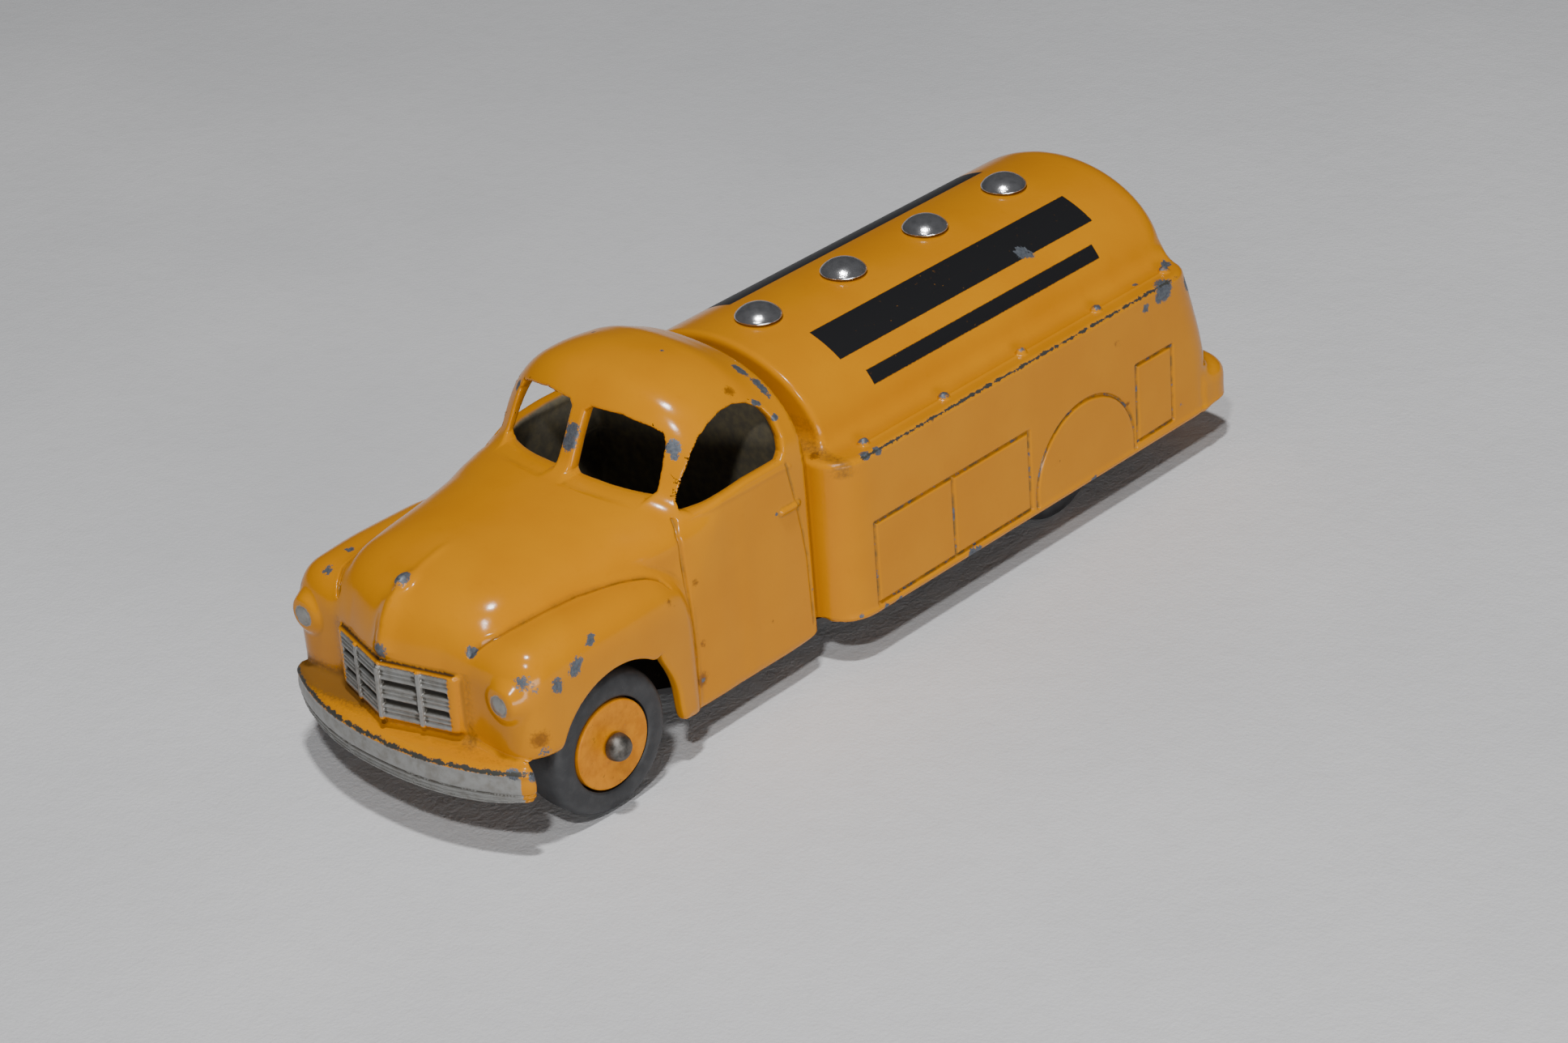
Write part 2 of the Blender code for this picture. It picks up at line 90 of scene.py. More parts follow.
def rbox(x, y, z, c, h, r):
    """Box with rounded edges."""
    qx, qy, qz = np.abs(x - c[0]) - h[0] + r, np.abs(y - c[1]) - h[1] + r, np.abs(z - c[2]) - h[2] + r
    o = np.sqrt(np.maximum(qx, 0) ** 2 + np.maximum(qy, 0) ** 2 + np.maximum(qz, 0) ** 2)
    return o + np.minimum(np.maximum(qx, np.maximum(qy, qz)), 0.0) - r


def polygon(u, v, pts, r=0.0):
    """Signed distance to a polygon in the (u, v) plane, negative inside."""
    pts = np.array(pts, float)
    d = np.full(np.shape(u), 1e9)
    inside = np.zeros(np.shape(u), bool)
    n = len(pts)
    for i in range(n):
        ax, ay = pts[i]
        bx, by = pts[(i + 1) % n]
        ex, ey = bx - ax, by - ay
        t = np.clip(((u - ax) * ex + (v - ay) * ey) / (ex * ex + ey * ey), 0, 1)
        dx, dy = u - ax - t * ex, v - ay - t * ey
        d = np.minimum(d, dx * dx + dy * dy)
        cond = ((ay > v) != (by > v))
        with np.errstate(divide="ignore", invalid="ignore"):
            xi = ax + (v - ay) / (by - ay if by != ay else 1e-9) * ex
        inside ^= cond & (u < xi)
    d = np.sqrt(d)
    return np.where(inside, -d, d) - r


def polyline(u, v, pts):
    """Distance in the (u, v) plane to an open line."""
    d = np.full(np.shape(u), 1e9)
    for (ax, ay), (bx, by) in zip(pts, pts[1:]):
        ex, ey = bx - ax, by - ay
        t = np.clip(((u - ax) * ex + (v - ay) * ey) / (ex * ex + ey * ey), 0, 1)
        d = np.minimum(d, (u - ax - t * ex) ** 2 + (v - ay - t * ey) ** 2)
    return np.sqrt(d)


def groove(d, w, depth):
    """Smooth engraved line: how much to add to the field at distance d."""
    return depth * np.exp(-(d / w) ** 2)


# ------------------------------------------------------------------ cab
CAB_REAR = -8.9
WALL = 1.5
# y, half width, spring height, top height, exponent
HOOD = [
    (-55.0, 9.0, 19.6, 24.0, 2.2),
    (-52.0, 9.9, 20.6, 24.9, 2.2),
    (-49.0, 10.7, 21.3, 25.6, 2.2),
    (-44.0, 11.6, 21.8, 26.2, 2.15),
    (-38.0, 12.5, 22.0, 26.6, 2.15),
    (-33.0, 13.4, 22.1, 27.0, 2.2),
    (-29.5, 14.4, 22.2, 27.2, 2.4),
    (-26.0, 14.9, 22.3, 27.3, 2.7),
    (-23.0, 14.8, 22.3, 27.0, 2.8),
    (-20.0, 14.2, 22.3, 26.5, 2.8),
]
# y, half width, roof height, exponent
ROOF = [
    (-28.0, 15.0, 33.4, 2.5),
    (-25.0, 15.1, 35.1, 2.45),
    (-22.0, 15.2, 36.4, 2.4),
    (-18.0, 15.3, 36.9, 2.35),
    (-14.0, 15.3, 36.5, 2.3),
    (-11.0, 15.2, 35.3, 2.3),
    (-8.9, 15.1, 34.3, 2.35),
]


def nose_y(x, z):
    """Front of the bonnet: a shallow V in plan that leans back to the top."""
    rows = [(9.0, -54.2), (17.5, -54.0), (19.3, -53.7), (21.5, -53.0), (23.2, -52.0), (24.6, -50.5), (25.5, -48.6), (27.0, -44.0)]
    y0 = tab(z, rows, 1)
    ax = np.abs(x)
    return y0 + 0.21 * ax + 0.010 * ax * ax


def cab_hood(x, y, z, grow=0.0):
    a = tab(y, HOOD, 1); z0 = tab(y, HOOD, 2); zt = tab(y, HOOD, 3); p = tab(y, HOOD, 4)
    f = section(x, z, a, z0, zt - z0, p) + grow
    f = smax(f, (nose_y(x, z) - y) * 0.86 + grow, 2.6)
    f = smax(f, y - (-18.5), 1.5)
    return f


def windscreen_y(x, z):
    return -28.4 + 0.52 * (z - 27.3) + 2.5 * (np.abs(x) / 10.5) ** 2.2


def cab_green(x, y, z, grow=0.0):
    a = tab(y, ROOF, 1); zt = tab(y, ROOF, 2); p = tab(y, ROOF, 3)
    f = section(x, z, a, 24.0, zt - 24.0, p) + grow
    f = smax(f, (windscreen_y(x, z) - y) * 0.88 + grow, 2.4)
    f = smax(f, y - CAB_REAR + grow, 0.7 if grow == 0 else 0.5)
    return f


def fender(x, y, z, grow=0.0):
    ax = np.abs(x)
    xo = tab(y, [(-52.0, 17.5), (-48.0, 17.5), (-43.0, 17.5), (-36.0, 17.4), (-31.0, 17.0), (-27.5, 16.5), (-26.0, 16.2)], 1)
    zt = tab(y, [(-52.0, 21.2), (-47.0, 22.0), (-42.0, 22.3), (-36.0, 22.3), (-32.0, 22.0), (-29.0, 20.6), (-27.0, 18.6), (-25.0, 17.0)], 1)
    f = smax(ax - xo, z - zt, 4.6) + grow
    f = smax(f, -51.35 + 0.006 * (ax - 12.0) ** 2 - y + grow, 3.6)
    f = smax(f, y - (-27.2) + grow, 1.6)
    f = smax(f, 7.5 - ax + grow, 0.6)
    return f


BUMP_W = 17.25


def bumper_front(x):
    return -56.0 + 4.5 * (np.abs(x) / BUMP_W) ** 2.3


def bumper(x, y, z):
    yf = bumper_front(x)
    d = y - yf                                  # depth behind the face
    # shelf top slopes down to the face
    top = z - (10.35 + 0.14 * np.clip(d, 0, 6))
    f = smax(top, -d, 0.9)
    f = smax(f, np.abs(x) - BUMP_W, 1.2)
    back = 1.9 + 0.0 * x
    under = 6.0 + 0.55 * (np.abs(x) / BUMP_W) ** 5 - z
    f = smax(f, under, 0.8)
    # behind the face, the underside is hollow up to the shelf
    hollow = smax(smax(back - d, z - 9.0, 0.6), np.abs(x) - (BUMP_W - 1.0), 0.6)
    f = smax(f, -hollow, 0.5)
    f = smax(f, y - np.where(np.abs(x) > 12.0, -50.5, -48.5), 0.9)
    # horizontal beads on the face
    zz = z
    near_face = np.exp(-(d / 0.9) ** 2)
    for zc in (7.5, 6.98, 6.5):
        f = f + 0.20 * np.exp(-((zz - zc) / 0.13) ** 2) * near_face
    f = f - 0.14 * np.exp(-((zz - 8.35) / 0.75) ** 2) * near_face
    f = f - 0.10 * np.exp(-((zz - 9.75) / 0.25) ** 2) * near_face
    return f


LAMP = (14.25, -50.35, 16.85)


def lamp(x, y, z):
    """Round headlamp: a domed yellow shell cut flat in front, with a low lens."""
    ax = np.abs(x) - LAMP[0]
    rr = np.sqrt(ax * ax + (z - LAMP[2]) ** 2)
    dy = y - LAMP[1]
    d = (np.sqrt((rr / 2.3) ** 2 + (dy / 2.15) ** 2) - 1.0) * 2.2
    d = smax(d, (LAMP[1] - 1.5) - y, 0.35)
    lens = np.sqrt(rr ** 2 + (dy + 0.2) ** 2) - 1.62
    return smin(smax(lens, rr - 1.15, 0.1), d, 0.08)


GR_X, GR_ZT, GR_ZB = 8.6, 17.95, 11.7


def grille_front(x, z):
    return -54.75 + 0.285 * np.abs(x) + 0.02 * (GR_ZT - z) * -1.0


def grille(x, y, z):
    ax = np.abs(x)
    yf = grille_front(x, z)
    d = (y - yf) * 0.96
    f = smax(-d, ax - GR_X, 0.7)
    f = smax(f, np.abs(z - 0.5 * (GR_ZT + GR_ZB)) - 0.5 * (GR_ZT - GR_ZB), 0.4)
    f = smax(f, y + 49.5, 0.3)
    face = np.exp(-(d / 0.8) ** 2)
    # two deep gaps between three groups of bars
    for zg in (13.75, 15.85):
        f = f + 0.62 * np.exp(-((z - zg) / 0.27) ** 4) * face * np.clip((GR_X - 0.9 - ax) / 0.5, 0, 1)
    # fine ribs inside each group
    for zc in (12.7, 14.8, 16.9):
        for k in (-1, 0, 1):
            f = f + 0.16 * np.exp(-((z - (zc + 0.24 + k * 0.48)) / 0.12) ** 2) * face * np.clip((GR_X - 0.7 - ax) / 0.3, 0, 1)
    # upright divider in each half and the centre prow
    f = np.minimum(f, smax(np.maximum(np.abs(ax - 4.55) - 0.26, -d - 0.12), np.abs(z - 14.8) - 3.15, 0.2) + 0.0)
    f = np.minimum(f, smax(np.maximum(ax - 0.28, -d - 0.18), np.abs(z - 14.8) - 3.2, 0.2))
    return f


DOOR_WIN = [(-25.1, 25.75), (-24.9, 26.5), (-23.6, 28.7), (-22.2, 30.6), (-20.9, 31.8), (-19.3, 32.5), (-17.3, 32.85), (-15.3, 32.8), (-13.6, 32.3),
            (-12.1, 31.2), (-11.55, 29.9), (-11.6, 28.2), (-11.95, 26.9), (-12.5, 26.3), (-17.2, 26.3), (-21.0, 26.0), (-24.4, 25.45)]
SCREEN = [(0.95, 30.2), (1.0, 33.05), (1.6, 33.5), (5.3, 33.5), (8.5, 32.85), (9.8, 32.35), (10.3, 31.5), (10.55, 29.4), (10.7, 27.3),
          (10.1, 26.65), (7.0, 26.9), (3.8, 27.15), (1.6, 27.25), (1.05, 27.6)]
CREASE = [(9.6, -50.6), (10.3, -49.8), (11.2, -48.3), (11.8, -44.8), (12.5, -39.2), (13.8, -34.1), (14.45, -31.8), (14.9, -30.4), (15.6, -29.6)]
BELT = [(-25.6, 25.1), (-21.0, 25.45), (-13.2, 25.4), (-11.4, 25.2)]
HANDLE = [(-13.1, 20.75), (-10.8, 20.65)]
DOOR_FRONT = [(-26.3, 25.2), (-26.9, 24.0), (-26.95, 21.0), (-26.9, 15.9), (-26.7, 10.4), (-27.2, 5.2), (-27.3, 3.6)]
DOOR_REAR = [(-11.9, 25.6), (-11.6, 24.2), (-10.9, 21.0), (-10.3, 17.8), (-9.8, 14.0), (-9.65, 9.0), (-9.6, 6.0)]


def cab_outer(x, y, z, grow=0.0, bottom=True):
    h = cab_hood(x, y, z, grow)
    g = cab_green(x, y, z, grow)
    w = fender(x, y, z, grow)
    f = smin(h, g, 1.6)
    f = smin(f, w, 1.1)
    if bottom:
        # underside: sill of the doors, wing behind the wheel, apron ahead of it
        zb = tab(y, [(-60.0, 10.6), (-46.0, 10.6), (-44.0, 9.0), (-31.0, 5.2), (-28.5, 4.8), (-27.3, 4.3), (-26.5, 4.1), (-8.0, 4.1)], 1)
        f = smax(f, zb - z, 0.9)
    return f


def coarse_cab_skin(x, y, z):
    """The bonnet, cabin and wings alone, without openings."""
    f = smin(cab_hood(x, y, z), cab_green(x, y, z), 1.6)
    return smin(f, fender(x, y, z), 1.1)


def cab_base(x, y, z):
    """Casting without its fine detail."""
    f = cab_outer(x, y, z)
    f = smin(f, grille(x, y, z), 0.35)
    f = smin(f, bumper(x, y, z), 0.8)
    f = smin(f, lamp(x, y, z), 0.5)
    # hollow inside
    inner = cab_outer(x, y, z, grow=WALL, bottom=False)
    inner = smax(inner, -50.2 - y, 0.8)
    f = smax(f, -inner, 0.4)
    # wheel arch through the wing, a little behind the wheel
    arch = np.sqrt((y + 39.15) ** 2 + (z - 7.6) ** 2) - 8.35
    arch = smin(arch, polygon(y, z, [(-33.0, 14.2), (-30.0, 4.0), (-46.0, 4.0), (-46.0, 9.0)]) , 0.6)
    f = smax(f, -smax(arch, 12.0 - np.abs(x), 0.3), 0.55)
    # windows
    ax = np.abs(x)
    depth = np.clip(-coarse_cab_skin(x, y, z) - 0.7, 0.0, 1.0) * 0.35
    scr = smax(polygon(ax, z, SCREEN) - 0.6 * depth, y - windscreen_y(x, z) - 3.6, 0.2)
    scr = smax(scr, windscreen_y(x, z) - 1.5 - y, 0.3)
    f = smax(f, -scr, 0.45)
    dw = smax(polygon(y, z, DOOR_WIN) - depth, 10.6 - ax, 0.2)
    f = smax(f, -dw, 0.45)
    # plate slot through the back wall
    slot = np.maximum(np.maximum(np.abs(y + 9.0) - 3.0, z - 5.3), ax - 13.7)
    f = smax(f, -slot, 0.2)
    return f


def cab(x, y, z):
    f = cab_base(x, y, z)
    ax = np.abs(x)
    side = np.clip((ax - 11.5) / 1.5, 0, 1)
    # door outline
    f = f + groove(polyline(y, z, DOOR_FRONT), 0.20, 0.28) * side
    f = f + groove(polyline(y, z, DOOR_REAR), 0.17, 0.10) * side
    # bead under the door window
    f = f - groove(polyline(y, z, BELT), 0.26, 0.07) * side
    # handle
    h = polyline(y, z, HANDLE)
    f = f - groove(h, 0.36, 0.34) * side
    # line between bonnet and wing
    crease = polyline(ax, y, CREASE)
    f = f + groove(crease, 0.20, 0.28) * np.clip((z - 19.6) / 0.5, 0, 1)
    # ridge along the bonnet and the badge at its front end
    rid = np.exp(-(x / 0.5) ** 2) * np.exp(-np.maximum(np.abs(y + 48.5) - 3.0, 0) ** 2 / 2.0) * np.clip((z - 22.5), 0, 1)
    f = f - 0.16 * rid
    prow = np.exp(-(x / 1.1) ** 2) * np.clip((-49.0 - y) / 1.2, 0, 1) * np.clip((z - 18.2) / 0.8, 0, 1) * np.clip((24.9 - z) / 1.6, 0, 1)
    f = f - 0.5 * prow
    f = smin(f, np.sqrt((x / 0.75) ** 2 + ((y + 49.8) / 1.15) ** 2 + ((z - 24.85) / 0.75) ** 2) * 0.75 - 0.75, 0.9)
    return f


# ------------------------------------------------------------------ tank
SKW = 18.25
LEDGE = 23.85


def rear_y(x, z):
    """Leaning back end of the skirts."""
    y0 = tab(z, [(0.0, 54.6), (11.5, 54.3), (14.0, 53.9), (18.4, 52.9), (22.8, 51.8), (26.0, 51.0)], 1)
    bow = tab(z, [(0.0, 0.2), (12.5, 0.4), (23.0, 1.0), (26.0, 1.3)], 1)
    return y0 - bow * (np.abs(x) / 16.0) ** 2


def skirt(x, y, z, grow=0.0, bottom=True):
    ax = np.abs(x)
    q1 = ax - SKW + grow
    f = smax(q1, -7.8 - y + grow, 4.9)
    f = smax(f, (y - rear_y(x, z)) * 0.9 + grow, 3.6)
    f = smax(f, z - LEDGE + grow, 0.7)
    if bottom:
        f = smax(f, 5.15 - z, 0.5)
    return f


def barrel(x, y, z, grow=0.0):
    f = section(x, z, 13.75, LEDGE - 0.05, 8.8, 2.0) + grow
    f = smax(f, (-5.15 - y) + grow, 0.8)
    f = smax(f, y - (52.7 - 0.004 * x * x) + grow, 3.4)
    f = smax(f, 18.0 - z, 0.5)
    return f


def tank_outer(x, y, z, grow=0.0, bottom=True):
    s = skirt(x, y, z, grow, bottom)
    b = barrel(x, y, z, grow)
    f = smin(s, b, 1.9)
    return f


def rear_roll(x, y, z):
    ax = np.abs(x)
    yr = 58.2 - 0.003 * x * x
    f = smax(ax - (SKW - 0.05), y - yr, 3.4)
    f = smax(f, z - 10.1, 2.1)
    f = smax(f, 5.2 - z, 1.2)
    f = smax(f, 52.0 - y, 0.5)
    return f


LOCKER = [(-2.8, 15.75), (22.0, 15.75)]
DY = 52.25


def cy(v):
    return (v - DY) * 0.936


SKIRT_LINES = [
    [(cy(49.23), 15.73), (cy(75.36), 15.73), (cy(75.36), 6.35), (cy(49.23), 6.25), (cy(49.23), 15.73)],
    [(cy(62.18), 15.73), (cy(62.18), 6.3)],
    [(cy(94.91), 15.95), (cy(101.54), 15.9), (cy(101.54), 6.7), (cy(94.91), 6.6), (cy(94.91), 15.95)],
]
ARCH_C, ARCH_R = (31.05, 7.1), 8.35


def skirt_lines(y, z):
    d = np.full(np.shape(y), 1e9)
    for ln in SKIRT_LINES:
        d = np.minimum(d, polyline(y, z, ln))
    rr = np.sqrt((y - ARCH_C[0]) ** 2 + (z - ARCH_C[1]) ** 2)
    d = np.minimum(d, np.where((z > ARCH_C[1]), np.abs(rr - ARCH_R), 1e9))
    d = np.minimum(d, np.where((z <= ARCH_C[1]) & (z > 5.9), np.abs(np.abs(y - ARCH_C[0]) - ARCH_R), 1e9))
    return d


STUDS = [cy(v) for v in (50.41, 63.72, 77.05, 90.41, 103.0)]


def tank_base(x, y, z):
    f = tank_outer(x, y, z)
    f = smin(f, rear_roll(x, y, z), 0.8)
    # short neck towards the cab
    ax = np.abs(x)
    neck = smax(smax(ax - 13.4, z - 23.0, 1.5), np.abs(y + 6.5) - 2.1, 0.4)
    neck = smax(neck, 5.4 - z, 0.4)
    f = smin(f, neck, 0.8)
    inner = tank_outer(x, y, z, grow=WALL + 0.15, bottom=False)
    f = smax(f, -inner, 0.4)
    slot = np.maximum(np.maximum(np.abs(y + 7.0) - 2.5, z - 5.3), ax - 14.9)
    f = smax(f, -slot, 0.2)
    return f


def tank(x, y, z):
    f = tank_base(x, y, z)
    ax = np.abs(x)
    side = np.clip((ax - 16.5) / 1.0, 0, 1)
    f = f + groove(skirt_lines(y, z), 0.21, 0.30) * side
    # sill moulding
    f = f - groove(np.abs(z - 5.75), 0.3, 0.12) * side
    # studs and the fine bead between them along the ledge
    for sy in STUDS:
        d = np.sqrt((ax - 16.3) ** 2 + (y - sy) ** 2 + ((z - LEDGE) * 1.0) ** 2) - 0.62
        f = smin(f, d, 0.25)
    bead = np.abs(ax - 16.3) + np.maximum(np.maximum(STUDS[0] - y, y - STUDS[-1]), 0)
    f = f - groove(bead, 0.2, 0.1) * np.clip(z - 22.5, 0, 1)
    return f


# ------------------------------------------------------------------ mesher
def surface_nets(fn, lo, hi, h):
    ax = [np.arange(lo[i], hi[i] + h, h) for i in range(3)]
    X, Y, Z = np.meshgrid(*ax, indexing="ij")
    F = fn(X.ravel(), Y.ravel(), Z.ravel()).reshape(X.shape)
    nx, ny, nz = F.shape
    S = F < 0
    acc = np.zeros((nx - 1, ny - 1, nz - 1, 3))
    cnt = np.zeros((nx - 1, ny - 1, nz - 1))
    grids = (X, Y, Z)
    for d in range(3):
        a = [slice(None)] * 3; b = [slice(None)] * 3
        a[d] = slice(0, -1); b[d] = slice(1, None)
        Fa, Fb = F[tuple(a)], F[tuple(b)]
        cross = S[tuple(a)] != S[tuple(b)]
        t = np.where(cross, Fa / np.where(cross, Fa - Fb, 1.0), 0.0)
        P = [np.where(cross, g[tuple(a)] + (h * t if i == d else 0.0), 0.0) for i, g in enumerate(grids)]
        o = [i for i in range(3) if i != d]
        for u in (0, 1):
            for v in (0, 1):
                sl = [slice(None)] * 3
                n = (nx, ny, nz)
                sl[o[0]] = slice(u, n[o[0]] - 1 + u)
                sl[o[1]] = slice(v, n[o[1]] - 1 + v)
                for i in range(3):
                    acc[..., i] += P[i][tuple(sl)]
                cnt += cross[tuple(sl)]
    mask = cnt > 0
    idx = np.full(mask.shape, -1, int)
    idx[mask] = np.arange(mask.sum())
    V = acc[mask] / cnt[mask][:, None]
    quads = []
    for d in range(3):
        a = [slice(None)] * 3; b = [slice(None)] * 3
        a[d] = slice(0, -1); b[d] = slice(1, None)
        cross = S[tuple(a)] != S[tuple(b)]
        o = [i for i in range(3) if i != d]
        sl = [slice(None)] * 3
        for q in o:
            sl[q] = slice(1, -1)
        c = cross[tuple(sl)]
        ii = np.argwhere(c)
        if not len(ii):
            continue
        for q in o:
            ii[:, q] += 1
        st = S[tuple(a)][tuple(ii.T)]
        def cell(du, dv):
            j = ii.copy()
            j[:, o[0]] -= du
            j[:, o[1]] -= dv
            return idx[tuple(j.T)]
        q4 = np.stack([cell(0, 0), cell(1, 0), cell(1, 1), cell(0, 1)], 1)
        flip = st if d != 1 else ~st
        q4[~flip] = q4[~flip][:, ::-1]
        quads.append(q4)
    Q = np.concatenate(quads)
    return V, Q


def tris_of(V, Q):
    d1 = np.linalg.norm(V[Q[:, 0]] - V[Q[:, 2]], axis=1)
    d2 = np.linalg.norm(V[Q[:, 1]] - V[Q[:, 3]], axis=1)
    s = d1 <= d2
    T = np.concatenate([Q[s][:, [0, 1, 2]], Q[s][:, [0, 2, 3]], Q[~s][:, [0, 1, 3]], Q[~s][:, [1, 2, 3]]])
    return T


def gradient(fn, V, e=0.02):
    g = np.empty_like(V)
    for i in range(3):
        d = np.zeros(3); d[i] = e
        A, B = V + d, V - d
        g[:, i] = (fn(*A.T) - fn(*B.T)) / (2 * e)
    return g


def project(fn, V, steps=3, limit=0.3, e=0.02):
    for _ in range(steps):
        f = fn(*V.T)
        g = gradient(fn, V, e)
        n2 = np.maximum((g * g).sum(1), 0.05)
        step = (f / n2)[:, None] * g
        L = np.linalg.norm(step, axis=1)
        s = np.minimum(1.0, limit / np.maximum(L, 1e-9))
        V = V - step * s[:, None]
    return V


def refine(V, T, size_fn, fn, rounds=4, project_steps=2):
    """Splits every edge longer than the local size, and puts the new points
    on the surface.  Neighbours split together, so the mesh stays closed."""
    for _ in range(rounds):
        E = np.sort(np.concatenate([T[:, [0, 1]], T[:, [1, 2]], T[:, [2, 0]]]), axis=1)
        key = E[:, 0].astype(np.int64) * len(V) + E[:, 1]
        uk, inv = np.unique(key, return_inverse=True)
        a, b = uk // len(V), uk % len(V)
        L = np.linalg.norm(V[a] - V[b], axis=1)
        mid = 0.5 * (V[a] + V[b])
        split = L > size_fn(mid)
        if not split.any():
            break
        # always split the longest edge of a triangle that splits at all
        nT = len(T)
        tri_e = inv.reshape(3, nT).T
        for _k in range(8):
            m = split[tri_e]
            le = tri_e[np.arange(nT), np.argmax(L[tri_e], axis=1)]
            need = m.any(1) & ~split[le]
            if not need.any():
                break
            split[le[need]] = True
        newid = np.full(len(uk), -1, int)
        newid[split] = len(V) + np.arange(split.sum())
        P = project(fn, mid[split], project_steps)
        V = np.concatenate([V, P])
        m = split[tri_e]
        n = newid[tri_e]
        out = [T[~m.any(1)]]
        c = m.sum(1)
        # one split edge
        for e in range(3):
            s = (c == 1) & m[:, e]
            A, B, C = T[s][:, e], T[s][:, (e + 1) % 3], T[s][:, (e + 2) % 3]
            M = n[s][:, e]
            out += [np.stack([A, M, C], 1), np.stack([M, B, C], 1)]
        for e in range(3):
            s = (c == 2) & ~m[:, e]
            A, B, C = T[s][:, e], T[s][:, (e + 1) % 3], T[s][:, (e + 2) % 3]
            M1, M2 = n[s][:, (e + 1) % 3], n[s][:, (e + 2) % 3]
            out += [np.stack([M1, C, M2], 1)]
            d1 = np.linalg.norm(V[A] - V[M1], axis=1); d2 = np.linalg.norm(V[B] - V[M2], axis=1)
            q = d1 <= d2
            out += [np.stack([A, B, M1], 1)[q], np.stack([A, M1, M2], 1)[q],
                    np.stack([A, B, M2], 1)[~q], np.stack([B, M1, M2], 1)[~q]]
        s = c == 3
        A, B, C = T[s].T
        M0, M1, M2 = n[s].T
        out += [np.stack([A, M0, M2], 1), np.stack([M0, B, M1], 1), np.stack([M2, M1, C], 1), np.stack([M0, M1, M2], 1)]
        T = np.concatenate(out)
    return V, T


# ------------------------------------------------------------------ fields painted on the castings
def spots(P, rows):
    """Largest of 1 - distance / radius over a list of (x, y, z, radius)."""
    out = np.full(len(P), -3.0)
    for x, y, z, r in rows:
        d = np.sqrt(((P - np.array([x, y, z])) ** 2).sum(1))
        out = np.maximum(out, 1.0 - d / (1.15 * r))
    return out


def spots2(P, rows):
    """Same for long marks: (x, y, z, rx, ry, rz)."""
    out = np.full(len(P), -3.0)
    for x, y, z, rx, ry, rz in rows:
        d = np.sqrt((((P - np.array([x, y, z])) / np.array([rx, ry, rz])) ** 2).sum(1))
        out = np.maximum(out, 1.0 - d)
    return out


def bend(fn, V, d):
    """How sharply the surface turns: positive on outward edges, negative in
    corners, in 1/mm."""
    s = -6.0 * fn(*V.T)
    for i in range(3):
        e = np.zeros(3)
        e[i] = d
        s = s + fn(*(V + e).T) + fn(*(V - e).T)
    return s / (d * d)


CAB_CHIPS = [
    (0.0, -53.75, 19.05, 0.8), (9.63, -50.44, 20.47, 0.62), (15.6, -49.5, 18.9, 0.95), (16.3, -49.0, 18.3, 0.75),
    (17.18, -47.07, 18.03, 0.75), (17.1, -46.9, 17.3, 0.55), (17.27, -44.6, 18.5, 0.75), (17.0, -43.9, 19.1, 0.6),
    (16.75, -42.2, 20.0, 0.5), (16.75, -41.6, 20.4, 0.5), (-13.1, -45.91, 22.06, 0.5), (-12.57, -49.19, 21.17, 0.6),
    (-12.9, -48.6, 21.3, 0.4), (-16.8, -49.6, 18.4, 1.0), (-17.2, -48.3, 18.9, 0.7), (0.0, -26.9, 30.0, 0.85), (0.1, -26.3, 31.1, 0.8),
    (11.2, -23.3, 31.3, 0.75), (11.6, -23.6, 30.6, 0.45), (8.1, -10.7, 34.0, 0.55), (8.9, -10.7, 33.7, 0.6), (10.3, -10.2, 32.8, 0.55),
    (11.0, -10.3, 32.2, 0.6), (11.7, -10.2, 31.6, 0.45), (12.26, -12.65, 32.07, 0.38), (12.5, -12.2, 31.9, 0.33), (13.46, -11.18, 30.17, 0.38),
    (-11.05, -23.19, 31.59, 0.5), (16.62, -49.04, 11.62, 0.75), (16.0, -49.6, 11.3, 0.6), (-6.56, -16.23, 36.0, 0.26),
    (3.21, -16.05, 36.64, 0.24), (14.0, -24.8, 25.8, 0.28), (15.53, -26.1, 7.47, 0.3), (15.4, -9.4, 10.0, 0.3), (12.2, -24.7, 28.9, 0.2),
    (17.4, -50.9, 9.6, 0.7), (15.8, -52.6, 10.1, 0.7), (17.3, -28.8, 5.2, 0.4), (-17.4, -50.9, 9.8, 0.9),
    (15.35, -13.9, 20.9, 0.2), (10.5, -50.0, 20.3, 0.35), (-15.3, -30.0, 20.5, 0.6), (-15.2, -12.0, 8.0, 0.5), (-15.4, -20.0, 5.0, 0.7),
]
CAB_RUST = [
    (10.78, -14.65, 33.75, 0.75), (16.61, -30.97, 19.1, 0.55), (16.3, -30.3, 18.4, 0.5), (15.49, -25.91, 18.62, 0.5), (15.3, -15.61, 9.13, 0.35),
    (15.3, -16.26, 6.38, 0.3), (16.9, -49.5, 13.0, 1.2), (15.4, -26.3, 7.6, 1.0), (1.0, -51.5, 19.9, 0.5), (13.0, -23.9, 28.0, 0.3),
    (15.5, -25.7, 11.5, 0.5), (15.3, -14.0, 18.3, 0.25),
]
